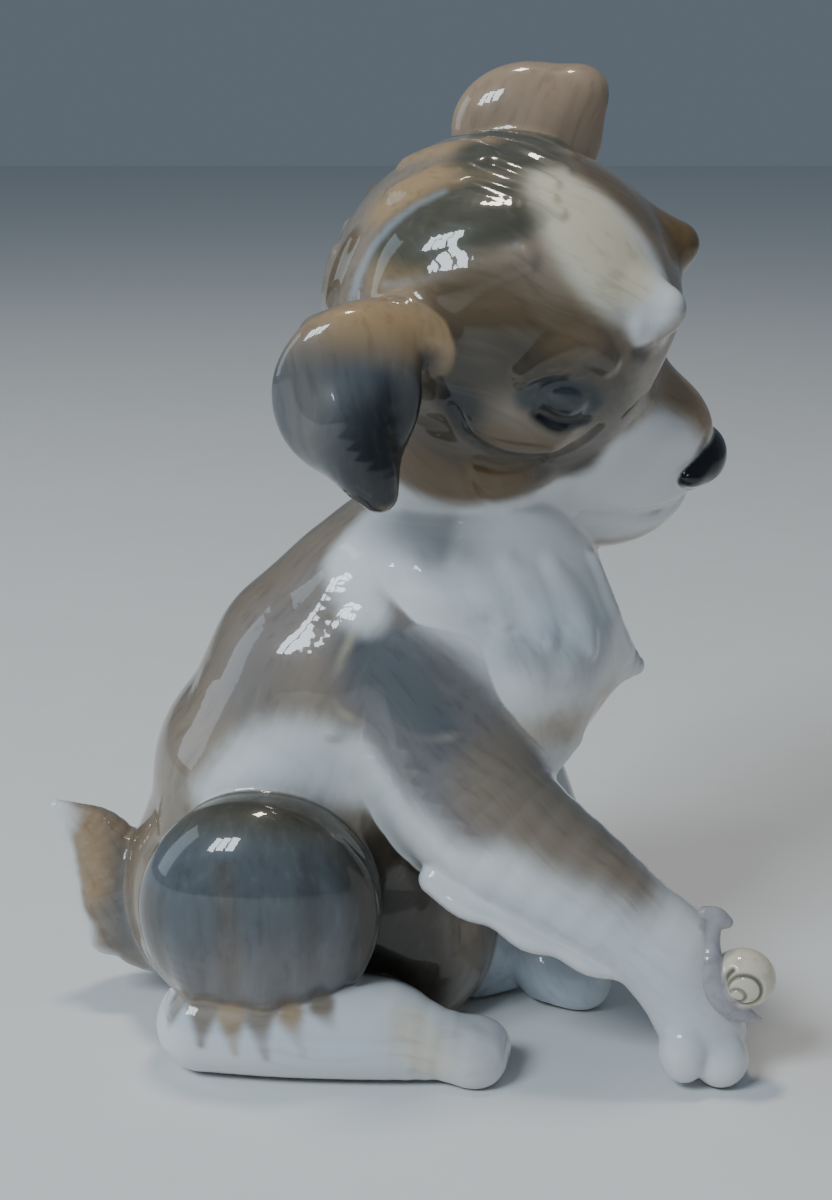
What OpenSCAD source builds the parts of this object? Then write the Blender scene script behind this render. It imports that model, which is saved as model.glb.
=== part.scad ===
// Seated puppy figurine in glazed porcelain, with a snail on its lifted forepaw.
// The puppy faces +X, its left side is +Y, and it sits on the table at Z = 0.
// Every piece is cast by itself and stuck to its neighbour with a film of slip.

/* [Casting] */
// Wall of the two hollow castings, the body and the head
wall = 3.5; // [2.5:0.5:4.5]
// Film of slip left between two pieces that are stuck together
slip_film = 0.1; // [0.05:0.05:0.2]
// Bore of the vent in the underside of the body
body_vent_d = 7; // [5:1:10]
// Bore of the vent between the neck and the head
neck_vent_d = 12; // [8:1:14]

/* [Body] */
// Distance of the rump's middle behind the seat's middle
rump_back = 26; // [22:1:30]
// Length of the rump from front to back
rump_l = 45; // [40:1:52]
// Width of the rump
rump_w = 50; // [42:1:58]
// Height of the rump
rump_h = 46; // [40:1:54]
// Distance of the neck's middle in front of the seat's middle
neck_front = 9; // [5:1:13]
// Height of the neck's middle above the table
neck_up = 84; // [78:1:92]
// Length of the neck from throat to nape
neck_l = 40; // [34:1:44]
// Width of the neck
neck_w = 37; // [32:1:42]
// How far the back bows out behind the line from rump to neck
back_bow = 9; // [6:1:11]
// Width of the chest behind the forelegs
chest_w = 42; // [36:1:48]
// Length of the chest from breast to withers
chest_l = 46; // [40:1:52]
// Distance of the breast in front of the seat's middle
breast_front = 34; // [30:1:38]
// Height of the breast's fullest place
breast_up = 62; // [56:1:68]
// Width of the belly
belly_w = 40; // [34:1:46]
// Height of the belly's middle
belly_up = 33; // [28:1:38]

/* [Head] */
// Height of the skull's middle above the neck's middle
head_up = 37; // [34:1:38]
// How far the head leans towards its right shoulder, in degrees
head_tilt = 28; // [10:1:34]
// How far the head bows forward, in degrees
head_bow = 26; // [15:1:32]
// Length of the skull
skull_l = 54; // [49:1:59]
// Width of the skull
skull_w = 54; // [49:1:59]
// Height of the skull
skull_h = 55; // [50:1:60]
// Distance of the muzzle's end in front of the skull's middle
muzzle_reach = 44; // [40:1:48]
// Width of the muzzle
muzzle_w = 30; // [26:1:34]
// Depth of the muzzle from its bridge to its chin
muzzle_h = 34; // [30:1:37]
// Width of the nose
nose_w = 13; // [10:1:16]

/* [Ears] */
// Length of the hanging right ear from its root to its tip
right_ear_l = 33; // [28:1:38]
// Width of the hanging right ear
right_ear_w = 25; // [21:1:28]
// How far the right ear swings out from the side of the head, in degrees
right_ear_swing = 45; // [30:1:55]
// Length of the cocked left ear above its root
left_ear_l = 17; // [14:1:20]
// Width of the cocked left ear
left_ear_w = 25; // [21:1:28]
// How far the left ear leans out from the crown of the head, in degrees
left_ear_lean = 45; // [35:1:55]
// Thickness of the ears
ear_t = 7; // [5:0.5:9]

/* [Forelegs] */
// How far the middle of each shoulder lies inside the side of the chest
shoulder_sink = 1; // [0:0.5:4]
// Distance of the lifted paw in front of the seat's middle
right_paw_front = 47; // [43:1:51]
// Distance of the lifted paw to the right of the middle
right_paw_side = 29; // [26:1:32]
// Thickness of the right forearm
forearm_t = 18; // [15:1:20]
// Width of the right forepaw
forepaw_w = 15; // [13:1:18]
// Depth of the wavy fringe under the right forearm
fringe_drop = 4; // [2:0.5:6]
// Distance of the left forepaw in front of the seat's middle
left_paw_front = 28; // [24:1:31]
// Thickness of the straight left foreleg
left_leg_t = 14; // [12:1:17]

/* [Hind legs] */
// How far the middle of each haunch lies inside the side of the rump
haunch_sink = 2; // [0:0.5:5]
// Length of a haunch
haunch_l = 40; // [35:1:45]
// Height of a haunch
haunch_h = 35; // [30:1:40]
// Thickness of a haunch
haunch_t = 23; // [18:1:27]
// Distance of the right toes in front of the seat's middle
right_toes_front = 11; // [7:1:15]
// Distance of the left toes in front of the seat's middle
left_toes_front = 14; // [10:1:16]
// Distance of the left toes to the left of the middle
left_toes_side = 6; // [5:1:12]
// How far the right toes turn out from the haunch
right_toes_out = 7; // [3:1:10]
// Width of a hind foot
hind_foot_w = 16; // [13:1:18]
// Height of a hind foot
hind_foot_h = 18; // [15:1:20]

/* [Tail] */
// Distance of the tail's tip behind the seat's middle
tail_back = 58; // [55:1:62]
// Height of the tail's tip above the table
tail_up = 33; // [27:1:38]
// Thickness of the tail
tail_t = 16; // [13:1:19]

/* [Tufts and snail] */
// Gap kept between the jaw and the chest ruff
jaw_gap = 0.8; // [0.5:0.1:1.5]
// How far the point of the chest ruff stands out in front of the breast
ruff_point = 5; // [3:0.5:7]
// Width of a brow tuft
brow_w = 12; // [9:1:15]
// Outside diameter of the snail's shell
shell_d = 11; // [9:0.5:13]
// Width of the shell from side to side
shell_w = 7; // [5.5:0.5:9]
// Thickness of the snail's body
snail_t = 4.4; // [3.5:0.1:5.5]

/* [Hidden] */
$fn = 18;
big = 200;
// Places on the body, each [x, y, z]
rump_at = [-rump_back, 0, rump_h / 2 - 1];
neck_at = [neck_front, 0, neck_up];
breast_at = [breast_front - chest_l * 0.42, 0, breast_up];
belly_at = [-2, 0, belly_up];
groin_at = [-2, 0, 13];
// Middle of the skull, about which the head tilts and bows
skull_at = neck_at + [5, 0, head_up];
// A place given from the skull's middle before the head tilts and bows
skull_r = [skull_l, skull_w, skull_h] / 2;
muzzle_at = [muzzle_reach - muzzle_h / 2, 0, -12.5];
muzzle_r = [muzzle_h, muzzle_w, muzzle_h] / 2;
nose_at = muzzle_at + [muzzle_r[0] * 0.82, 0, muzzle_r[2] * 0.38];
right_ear_root = [-9, -skull_w * 0.44, 8];
left_ear_root = [-6, skull_w * 0.39, 14];
// Places on the legs
shoulder_side = chest_w / 2 - shoulder_sink;
haunch_side = rump_w / 2 - haunch_sink;
right_shoulder = [1, -shoulder_side, breast_up + 1];
left_shoulder = [9, shoulder_side - 4, breast_up - 2];
right_elbow = [9, -shoulder_side - 3, belly_up + 8];
right_wrist = [right_paw_front - 5, 1 - right_paw_side, 21];
right_paw = [right_paw_front, -right_paw_side, forepaw_w * 0.42];
left_paw = [left_paw_front, 1, left_leg_t * 0.42];
snail_t2 = snail_t / 2;
shell_at = right_wrist + [forearm_t * 0.32 + shell_d * 0.45, 4, -4];

function spine(t) = rump_at * (1 - t) + neck_at * t - [back_bow * 4 * t * (1 - t), 0, 0];
function between(a, b, t) = a * (1 - t) + b * t;

// One rounded mass: its middle and its three half sizes, in a ball
module ball(mass, grow) {
    translate(mass[0]) scale(mass[1] + [grow, grow, grow]) sphere(r = 1);
}

// Masses joined in pairs into one smooth form, or made larger or smaller all round
module form(masses, links, grow = 0) {
    for (pair = links) hull() {
        ball(masses[pair[0]], grow);
        ball(masses[pair[1]], grow);
    }
}

// Masses joined one after another
module chain(masses, grow = 0) {
    form(masses, [for (i = [0 : len(masses) - 2]) [i, i + 1]], grow);
}

module above(z) {
    translate([-big / 2, -big / 2, z]) cube(big);
}

// Turns a piece with the head
module with_head() {
    translate(skull_at) rotate([head_tilt, head_bow, 0]) children();
}

module body_form(grow = 0) {
    masses = [
        [rump_at, [rump_l, rump_w, rump_h] / 2],
        [spine(0.33), [chest_l * 0.46, chest_w * 0.57, 22]],
        [spine(0.62), [chest_l * 0.48, chest_w * 0.53, 20]],
        [spine(0.84), [chest_l * 0.46, chest_w * 0.5, 17]],
        [neck_at, [neck_l, neck_w, 28] / 2],
        [breast_at, [chest_l * 0.42, chest_w * 0.47, 18]],
        [belly_at, [20, belly_w / 2, 20]],
        [groin_at, [18, belly_w * 0.48, 17]]];
    links = [[0, 1], [1, 2], [2, 3], [3, 4], [2, 5], [4, 5], [5, 6], [1, 6], [6, 7], [7, 0]];
    form(masses, links, grow);
}

module body_casting() color("#a09088") difference() {
    intersection() {
        body_form();
        above(0);
    }
    intersection() {
        body_form(-wall);
        above(wall);
    }
    head_form(slip_film);
    translate(neck_at) cylinder(d = neck_vent_d, h = head_up);
    translate([-rump_back / 2, 0, -1]) cylinder(d = body_vent_d, h = wall + 2);
}

module head_form(grow = 0) {
    brow = [skull_l, skull_w, skull_h] * 0.22;
    cheek = [17, skull_w * 0.29, 15];
    masses = [
        [[0, 0, 0], skull_r],
        [[4, 0, 3], skull_r * 0.93],
        [[skull_l * 0.2, skull_w * 0.16, skull_h * 0.25], brow],
        [[skull_l * 0.2, -skull_w * 0.16, skull_h * 0.25], brow],
        [[5, skull_w * 0.22, -13], cheek],
        [[5, -skull_w * 0.22, -13], cheek],
        [muzzle_at * 0.62, [16, muzzle_w * 0.58, muzzle_h * 0.54]],
        [muzzle_at, muzzle_r]];
    links = [[0, 1], [1, 2], [1, 3], [2, 3], [0, 4], [0, 5], [4, 6], [5, 6], [1, 6], [6, 7]];
    with_head() form(masses, links, grow);
}

module head_casting() color("#8f857a") difference() {
    head_form();
    head_form(-wall);
    translate(neck_at) cylinder(d = neck_vent_d, h = head_up);
}

module right_ear() color("#6a5f5a") difference() {
    w = right_ear_w / 2;
    l = right_ear_l;
    with_head() translate(right_ear_root) rotate([-right_ear_swing, 0, 0]) chain([
        [[4, 2, 2], [6, 4, 5]],
        [[-4, 1, 2], [9, ear_t * 0.65, 5]],
        [[-9, -1, -l * 0.12], [w * 0.9, ear_t * 0.62, 6]],
        [[-9, -1, -l * 0.3], [w, ear_t * 0.55, 6]],
        [[-7, -1, -l * 0.48], [w * 0.95, ear_t * 0.5, 6]],
        [[-3, 0, -l * 0.63], [w * 0.75, ear_t * 0.5, 5]],
        [[1, 0, -l * 0.77], [w * 0.5, ear_t * 0.45, 5]],
        [[4, 0, -l * 0.86], [w * 0.32, ear_t * 0.38, 4]],
        [[5, 0, -l + 3], [w * 0.2, ear_t * 0.3, 3]]]);
    head_form(slip_film);
    body_form(slip_film);
}

module left_ear() color("#9c8579") difference() {
    w = left_ear_w / 2;
    l = left_ear_l;
    with_head() translate(left_ear_root) rotate([-left_ear_lean, 0, 0]) difference() {
        chain([
            [[-w * 0.5, 0, 2], [w * 0.5, ear_t * 0.7, 4]],
            [[0, 0, 2], [w * 0.8, ear_t * 0.8, 5]],
            [[0, 0, l * 0.3], [w * 0.95, ear_t * 0.75, 5]],
            [[0, 0, l * 0.5], [w * 0.95, ear_t * 0.65, 5]],
            [[w * 0.05, 0, l * 0.68], [w * 0.88, ear_t * 0.55, 4]],
            [[w * 0.15, 0, l * 0.8], [w * 0.7, ear_t * 0.5, 3.5]],
            [[w * 0.4, 1, l * 0.82], [w * 0.4, ear_t * 0.5, 3.5]],
            [[w * 0.7, 2, l * 0.7], [w * 0.25, ear_t * 0.45, 3.5]],
            [[w * 0.78, 3, l * 0.5], [w * 0.2, ear_t * 0.4, 3.5]]]);
        ball([[w * 0.95, 1, l * 0.4], [w * 0.5, ear_t * 0.4, l * 0.38]], 0);
    }
    head_form(slip_film);
}

module nose_pad() color("#26242a") difference() {
    r = nose_w / 2;
    with_head() translate(nose_at) chain([
        [[0, 0, 0], [r * 0.85, r, r * 0.85]],
        [[1, r * 0.3, -1], [r * 0.6, r * 0.66, r * 0.7]],
        [[1, 0, -3], [r * 0.55, r * 0.6, r * 0.6]],
        [[1, -r * 0.3, -1], [r * 0.6, r * 0.66, r * 0.7]]]);
    head_form(slip_film);
}

module brow_tuft(side) difference() {
    r = brow_w / 2;
    with_head() translate([skull_l * 0.38, side * skull_w * 0.15, skull_h * 0.29]) chain([
        [[-5, side * 2, 5], [r * 0.8, r * 0.8, r * 0.7]],
        [[0, 0, 0], [r, r * 0.9, r * 0.8]],
        [[1.5, 0, -3.5], [r * 0.8, r * 0.8, r * 0.7]],
        [[1.5, side, -7], [r * 0.5, r * 0.5, r * 0.5]]]);
    head_form(slip_film);
}

module right_brow_tuft() color("#cfcbc4") difference() {
    brow_tuft(-1);
    with_head() translate([0, 0, -big / 2]) cube(big);
}

// The left tuft meets the right one at the middle of the brow
module left_brow_tuft() color("#a88f72") difference() {
    brow_tuft(1);
    with_head() translate([0, -big + slip_film, -big / 2]) cube(big);
}

module chest_ruff() color("#c9cbd2") difference() {
    front = [breast_front, 0, breast_up];
    side = chest_w * 0.3;
    form([
        [front + [-12, 0, 17], [10, 15, 8]],
        [front + [-6, side, 8], [8, 8, 10]],
        [front + [-6, -side, 8], [8, 8, 10]],
        [front + [-4, 0, 7], [6, 11, 9]],
        [front + [ruff_point - 3, 0, 0], [3, 4, 4]],
        [front + [-6, side * 0.6, -6], [7, 7, 9]],
        [front + [-6, -side * 0.6, -6], [7, 7, 9]],
        [front + [-8, 0, -14], [6, 7, 7]],
        [front + [-11, -1, -19], [4, 5, 4]]],
        [[0, 1], [0, 2], [1, 3], [2, 3], [3, 4], [4, 5], [4, 6], [5, 7], [6, 7], [7, 8],
            [1, 5], [2, 6], [5, 6]]);
    body_form(slip_film);
    head_form(jaw_gap);
    foreleg_form(slip_film);
    left_foreleg_form(slip_film);
}

module foreleg_form(grow = 0) {
    t = forearm_t / 2;
    chain([
        [right_shoulder, [15, 8, 14]],
        [between(right_shoulder, right_elbow, 0.5) - [1, 0, 0], [14, 8.5, 12]],
        [right_elbow, [t * 1.4, t, t * 1.3]],
        [between(right_elbow, right_wrist, 0.35) + [1, 0, 4], [t * 1.1, t, t * 1.05]],
        [between(right_elbow, right_wrist, 0.7) + [0, 0, 3], [t * 0.88, t * 0.86, t * 0.88]],
        [right_wrist, [t * 0.68, t * 0.7, t * 0.7]],
        [right_paw + [-2, 0, 4], [forepaw_w * 0.4, forepaw_w * 0.46, forepaw_w * 0.44]],
        [right_paw + [1, 0, 0], [forepaw_w * 0.46, forepaw_w * 0.5, forepaw_w * 0.44]]], grow);
    for (side = [-1 : 1]) hull() {
        ball([right_paw + [1, side * 3, 0], [5, 4, 5]], grow);
        ball([right_paw + [4 - abs(side) * 2, side * 5, -2], [4, 3.4, 4.6]], grow);
    }
}

module right_foreleg() color("#b5aaa4") difference() {
    intersection() {
        foreleg_form();
        above(0);
    }
    body_form(slip_film);
}

module foreleg_fringe() color("#a7a6ac") difference() {
    low = forearm_t * 0.3 + fringe_drop * 0.5;
    chain([for (i = [0 : 8])
        [between(right_elbow, right_wrist, i / 8.6) + [-3, -1, 1 - low - 0.8 * (i % 2)],
            [5, 4.5, fringe_drop * 0.7 + 1]]]);
    foreleg_form(slip_film);
    body_form(slip_film);
    right_haunch_form(slip_film);
    hind_foot_form(-1, right_toes_front, slip_film);
    left_foreleg_form(slip_film);
}

module left_foreleg_form(grow = 0) {
    t = left_leg_t / 2;
    chain([
        [left_shoulder, [12, 7, 12]],
        [between(left_shoulder, left_paw, 0.25) + [2, 3, 0], [t * 1.35, t, 10]],
        [between(left_shoulder, left_paw, 0.5) + [2, 3, 0], [t * 1.1, t, 9]],
        [between(left_shoulder, left_paw, 0.75) + [0, 2, 0], [t, t, 8]],
        [left_paw + [-2, 0, 4], [t, t, t]],
        [left_paw, [t, t * 1.1, t]]], grow);
    for (side = [-1 : 1]) hull() {
        ball([left_paw + [1, side * 3, 0], [5, 4, 5]], grow);
        ball([left_paw + [5 - abs(side) * 2, side * 5, -1], [4, 3.6, 4.6]], grow);
    }
}

module left_foreleg() color("#b3b4bc") difference() {
    intersection() {
        left_foreleg_form();
        above(0);
    }
    body_form(slip_film);
}

module haunch_form(side, grow = 0) {
    half = [haunch_l, haunch_t, haunch_h] / 2;
    middle = [-24, side * haunch_side, haunch_h * 0.5 + 13];
    chain([
        [middle + [-8, -side * 2, -2], [half[0] * 0.6, half[1] * 0.85, half[2] * 0.85]],
        [middle + [-2, 0, 0], [half[0] * 0.85, half[1], half[2] * 0.97]],
        [middle + [3, 0, 0], [half[0] * 0.8, half[1], half[2]]],
        [middle + [8, side, -1], [half[0] * 0.6, half[1] * 0.9, half[2] * 0.86]]], grow);
}

module right_haunch_form(grow = 0) {
    haunch_form(-1, grow);
}

module haunch(side) difference() {
    haunch_form(side);
    body_form(slip_film);
    if (side < 0) foreleg_form(slip_film);
    else left_foreleg_form(slip_film);
}

module right_haunch() color("#66635e") haunch(-1);

module left_haunch() color("#77706c") haunch(1);

module hind_foot_form(side, toes_front, grow = 0) {
    w = hind_foot_w / 2;
    h = hind_foot_h / 2;
    toes_side = side < 0 ? -haunch_side - right_toes_out : left_toes_side;
    heel = [-35, side * haunch_side, h * 0.9];
    toes = [toes_front, toes_side, h * 0.62];
    chain([
        [heel, [w * 0.9, w * 0.9, h * 0.95]],
        [between(heel, toes, 0.3) + [0, 0, 1], [w, w * 0.95, h]],
        [between(heel, toes, 0.6) + [0, 0, 2], [w, w, h]],
        [between(heel, toes, 0.85), [w * 0.9, w, h * 0.8]],
        [toes, [w * 0.75, w * 0.9, h * 0.65]]], grow);
    for (i = [-1 : 1]) hull() {
        ball([toes + [-1, i * w * 0.5, 0], [w * 0.6, w * 0.5, h * 0.6]], grow);
        ball([toes + [3 - abs(i), i * w * 0.62, -1], [w * 0.45, w * 0.4, h * 0.5]], grow);
    }
}

module hind_foot(side, toes_front) difference() {
    intersection() {
        hind_foot_form(side, toes_front);
        above(0);
    }
    body_form(slip_film);
    haunch_form(side, slip_film);
    if (side > 0) left_foreleg_form(slip_film);
}

module right_hind_foot() color("#bfc6d0") hind_foot(-1, right_toes_front);

module left_hind_foot() color("#b4bac6") hind_foot(1, left_toes_front);

module tail() color("#b09a8c") difference() {
    t = tail_t / 2;
    tip = [-tail_back, 1, tail_up];
    root = [-rump_back - rump_l * 0.42, 2, 14];
    intersection() {
        chain([
            [root, [t, t, t * 1.1]],
            [root + [-4, 0, 0], [t * 0.95, t * 0.95, t * 1.15]],
            [between(root, tip, 0.4) + [-5, 0, -3], [t * 0.8, t * 0.85, t * 1.1]],
            [between(root, tip, 0.6) + [-4, 0, -1], [t * 0.65, t * 0.75, t]],
            [between(root, tip, 0.8) + [-2, 0, 0], [t * 0.5, t * 0.55, t * 0.8]],
            [between(root, tip, 0.92), [t * 0.36, t * 0.4, t * 0.6]],
            [tip, [t * 0.28, t * 0.3, t * 0.4]],
            [tip + [-1.5, 0, 2.5], [t * 0.2, t * 0.22, t * 0.22]],
            [tip + [-3, 0, 4], [t * 0.14, t * 0.15, t * 0.14]]]);
        above(0);
    }
    body_form(slip_film);
    haunch_form(-1, slip_film);
    haunch_form(1, slip_film);
}

module snail_body_form(grow = 0) {
    front = right_wrist + [forearm_t * 0.34 + snail_t2 * 0.2, 0, 0];
    chain([
        [front + [2, 2, 7.5], [snail_t2 * 0.8, snail_t2 * 0.8, snail_t2 * 0.6]],
        [front + [0, 2, 6.5], [snail_t2 * 0.75, snail_t2 * 0.8, snail_t2 * 0.8]],
        [front + [-1, 2, 4], [snail_t2 * 0.7, snail_t2 * 0.8, snail_t2]],
        [front + [-1, 2, 0], [snail_t2 * 0.9, snail_t2, snail_t2]],
        [front + [-1, 2, -3], [snail_t2, snail_t2 * 1.2, snail_t2]],
        [front + [1, 2, -6], [snail_t2, snail_t2 * 1.2, snail_t2]],
        [front + [3.5, 2, -9], [snail_t2 * 0.8, snail_t2, snail_t2 * 0.8]],
        [front + [6, 2, -11.5], [snail_t2 * 0.6, snail_t2 * 0.7, snail_t2 * 0.6]],
        [front + [7.5, 2, -13], [snail_t2 * 0.3, snail_t2 * 0.35, snail_t2 * 0.3]]], grow);
}

module snail_body() color("#a39aa8") difference() {
    snail_body_form();
    foreleg_form(slip_film);
}

// A flat coil of balls that shrink towards its middle, set on its edge
module snail_shell() color("#d8d3c4") difference() {
    turns = 2.2;
    steps = 22;
    translate(shell_at) rotate([75, 0, -15]) chain([for (i = [0 : steps])
        let(s = i / steps, r = shell_d * 0.33 * (1 - s * 0.93))
        [[r * cos(s * turns * 360 - 150), r * sin(s * turns * 360 - 150), shell_w * 0.3 * s],
            [1, 1, 1] * shell_w * (0.5 - 0.25 * s)]], $fn = 10);
    snail_body_form(slip_film);
    foreleg_form(slip_film);
}

body_casting();
head_casting();
right_ear();
left_ear();
nose_pad();
right_brow_tuft();
left_brow_tuft();
chest_ruff();
right_foreleg();
foreleg_fringe();
left_foreleg();
right_haunch();
right_hind_foot();
left_haunch();
left_hind_foot();
tail();
snail_body();
snail_shell();
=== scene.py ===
"""A seated porcelain puppy with a snail at its paw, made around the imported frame.

Run as a script: main() calls one operator for each group of pieces.  Shapes are worked out
in millimetres, from the middle of the seat, and are turned into metres when they are made.
"""

import math

import bpy
import numpy as np
from bpy.props import FloatProperty, FloatVectorProperty, PointerProperty
from bpy.types import Operator, Panel, PropertyGroup
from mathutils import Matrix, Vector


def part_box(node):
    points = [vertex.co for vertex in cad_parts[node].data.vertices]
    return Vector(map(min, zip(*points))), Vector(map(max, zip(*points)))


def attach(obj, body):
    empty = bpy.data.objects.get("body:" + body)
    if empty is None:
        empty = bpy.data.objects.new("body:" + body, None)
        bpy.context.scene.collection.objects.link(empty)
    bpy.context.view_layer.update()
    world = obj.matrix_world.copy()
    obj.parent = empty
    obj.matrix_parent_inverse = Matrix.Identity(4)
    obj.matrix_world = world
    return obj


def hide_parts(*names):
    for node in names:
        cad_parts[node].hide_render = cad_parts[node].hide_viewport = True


bl_info = {
    "name": "Porcelain puppy",
    "version": (1, 0, 0),
    "blender": (4, 5, 0),
    "location": "3D View > Sidebar > Puppy",
    "description": "Builds a glazed porcelain puppy and the small studio it stands in",
    "category": "Object",
}

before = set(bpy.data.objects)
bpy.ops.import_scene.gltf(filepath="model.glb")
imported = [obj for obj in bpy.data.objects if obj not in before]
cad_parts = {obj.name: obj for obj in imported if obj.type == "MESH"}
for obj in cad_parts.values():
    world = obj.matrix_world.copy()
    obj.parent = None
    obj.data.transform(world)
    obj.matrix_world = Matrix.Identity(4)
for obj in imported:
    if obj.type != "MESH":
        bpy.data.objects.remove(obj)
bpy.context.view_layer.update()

MM = 0.001
REACH = 9.0  # a lump isn't measured further off than this, in millimetres
STEP = 0.41  # spacing of the points that the surface is cast on
SNAIL_STEP = STEP / 2.5  # the same for the snail, which is finer
COARSE = 4  # one point in so many along each axis is measured first
BAND = 2.6  # then every point nearer to the surface than so many steps
FOOT_ROUND = 0.8  # how round the edge is where the clay stands on the floor
PAINT_EDGE = 0.9  # how far one piece's colour runs into the next, in millimetres
GROOVE_DEPTH = 0.4  # how deep in the shell's groove its olive is almost full, growing with depth, in millimetres


# ---------------------------------------------------------------- places


def spot(node, u, v, w):
    """A point in a CAD piece's box, by its share of each side, in millimetres."""
    low, high = (np.array(corner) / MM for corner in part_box(node))
    return low + (high - low) * (u, v, w)


class Place:
    """A frame of its own for a group of shapes: where it is and how it is turned."""

    def __init__(self, origin=(0, 0, 0), tilt=0, bow=0):
        a, b = math.radians(tilt), math.radians(bow)
        side = [[1, 0, 0], [0, math.cos(a), -math.sin(a)], [0, math.sin(a), math.cos(a)]]
        nod = [[math.cos(b), 0, math.sin(b)], [0, 1, 0], [-math.sin(b), 0, math.cos(b)]]
        self.origin = np.array(origin, float)
        self.turn = np.array(nod) @ np.array(side)

    def world(self, points):
        return np.asarray(points, float) @ self.turn.T + self.origin

    def local(self, points):
        return (points - self.origin) @ self.turn


SEAT = Place()
VENT = np.array((-13.0, 0, 0))  # the middle of the vent in the body's underside
HEAD = Place(spot("head_casting", 0.4256, 0.4545, 0.5837), tilt=28, bow=26)


# ---------------------------------------------------------------- clay


class Clay:
    """A soft solid: a distance in millimetres, and the box that it lies in."""

    def __init__(self, measure, low, high):
        self.measure = measure
        self.low = np.asarray(low, float)
        self.high = np.asarray(high, float)

    def __call__(self, points):
        near = np.all((points > self.low - REACH) & (points < self.high + REACH), axis=1)
        out = np.full(len(points), REACH)
        if near.all():
            return self.measure(points)
        if near.any():
            out[near] = self.measure(points[near])
        return out

    def slope(self, points, h=0.05):
        """The distance at each point, and the direction in which it grows."""
        corners = np.array([[1, -1, -1], [-1, -1, 1], [-1, 1, -1], [1, 1, 1]], float)
        found = [self(points + h * corner) for corner in corners]
        lean = sum(f[:, None] * corner for f, corner in zip(found, corners)) / (4 * h)
        return sum(found) / 4, lean

    def drop(self, points, rounds=4):
        """The points moved onto the surface, and the outward direction there."""
        points = np.array(points, float)
        for _ in range(rounds):
            far, lean = self.slope(points)
            size = np.maximum((lean**2).sum(1), 1e-6)
            points = points - lean * (far / size)[:, None]
        lean = self.slope(points)[1]
        return points, lean / np.maximum(np.linalg.norm(lean, axis=1), 1e-9)[:, None]


def soft_min(a, b, k):
    """The smaller of two distances, rounded where they meet over a width of k."""
    lap = np.maximum(k - np.abs(a - b), 0) / k
    return np.minimum(a, b) - lap * lap * k / 4


def spin(x=0, y=0, z=0):
    """Turning about each axis in turn, in degrees."""
    turn = np.eye(3)
    for axis, angle in enumerate((x, y, z)):
        a = math.radians(angle)
        step = np.eye(3)
        i, j = [(1, 2), (2, 0), (0, 1)][axis]
        step[i, i] = step[j, j] = math.cos(a)
        step[i, j], step[j, i] = -math.sin(a), math.sin(a)
        turn = step @ turn
    return turn


def egg(middle, radii, place=SEAT, turned=(0, 0, 0)):
    """A lump like an egg, with a half size along each of its axes."""
    centre = place.world(middle)
    radii = np.array(radii, float)
    axes = place.turn @ spin(*turned)
    half = np.sqrt((axes**2) @ (radii**2))

    def measure(points):
        q = (points - centre) @ axes
        k0 = np.linalg.norm(q / radii, axis=1)
        k1 = np.linalg.norm(q / radii**2, axis=1)
        return k0 * (k0 - 1) / np.maximum(k1, 1e-9)

    return Clay(measure, centre - half, centre + half)


def smooth_line(points, parts=4):
    """A smooth line through the points, with so many parts between each pair."""
    points = np.array(points, float)
    held = np.vstack([2 * points[0] - points[1], points, 2 * points[-1] - points[-2]])
    out = []
    for i in range(len(points) - 1):
        a, b, c, d = held[i : i + 4]
        for t in np.arange(parts) / parts:
            out.append(
                0.5 * (2 * b + (c - a) * t + (2 * a - 5 * b + 4 * c - d) * t**2)
                + 0.5 * (3 * b - a - 3 * c + d) * t**3
            )
    return np.array(out + [points[-1]])


def rope_of(line, radii):
    """A round rope along a line of points that are already in place."""

    def measure(points):
        best = np.full(len(points), np.inf)
        for a, b, r, s in zip(line[:-1], line[1:], radii[:-1], radii[1:]):
            ab = b - a
            h = np.clip((points - a) @ ab / max(ab @ ab, 1e-9), 0, 1)
            off = points - a - h[:, None] * ab
            best = np.minimum(best, np.sqrt((off**2).sum(1)) - (r + (s - r) * h))
        return best

    fat = np.max(radii)
    return Clay(measure, line.min(0) - fat, line.max(0) + fat)


def rope(points, radii, place=SEAT, parts=4):
    """A round rope through the points, as thick at each as its radius says."""
    path = smooth_line(np.column_stack([place.world(points), radii]), parts)
    return rope_of(path[:, :3], path[:, 3])


def join(k, *lumps):
    """Lumps run together, with a fillet of about k where they meet."""

    def measure(points):
        out = lumps[0](points)
        for lump in lumps[1:]:
            out = soft_min(out, lump(points), k)
        return out

    low = np.min([lump.low for lump in lumps], axis=0)
    high = np.max([lump.high for lump in lumps], axis=0)
    return Clay(measure, low, high)


def carve(k, base, *tools):
    """The base with the tools' shapes pressed out of it, soft at the edge."""

    def measure(points):
        out = base(points)
        for tool in tools:
            out = -soft_min(-out, tool(points), k)
        return out

    return Clay(measure, base.low, base.high)


def along(base, points, widths, lift, place):
    """A rope that lies along the base: proud of it by lift, or over it if lift is below 0."""
    path = smooth_line(np.column_stack([place.world(points), widths]), 8)
    line, out = base.drop(path[:, :3])
    rise = np.minimum(abs(lift), path[:, 3] / 2.2)
    radii = (path[:, 3] ** 2 / 4 + rise**2) / (2 * rise)
    way = -1 if lift > 0 else 1
    return rope_of(line + out * (way * (radii - rise))[:, None], radii)


def both_sides(rows):
    """Rows given for the right side, and the same rows for the left."""
    other = [([(x, -y, z) for x, y, z in points], *rest) for points, *rest in rows]
    return list(rows) + other


def locks(base, rows, place=SEAT, k=0.8):
    """Hair locks and rolls on the base: each row has its points, widths and lift."""
    raised = [along(base, points, widths, lift, place) for points, widths, lift in rows]
    return join(k, base, *raised)


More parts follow.
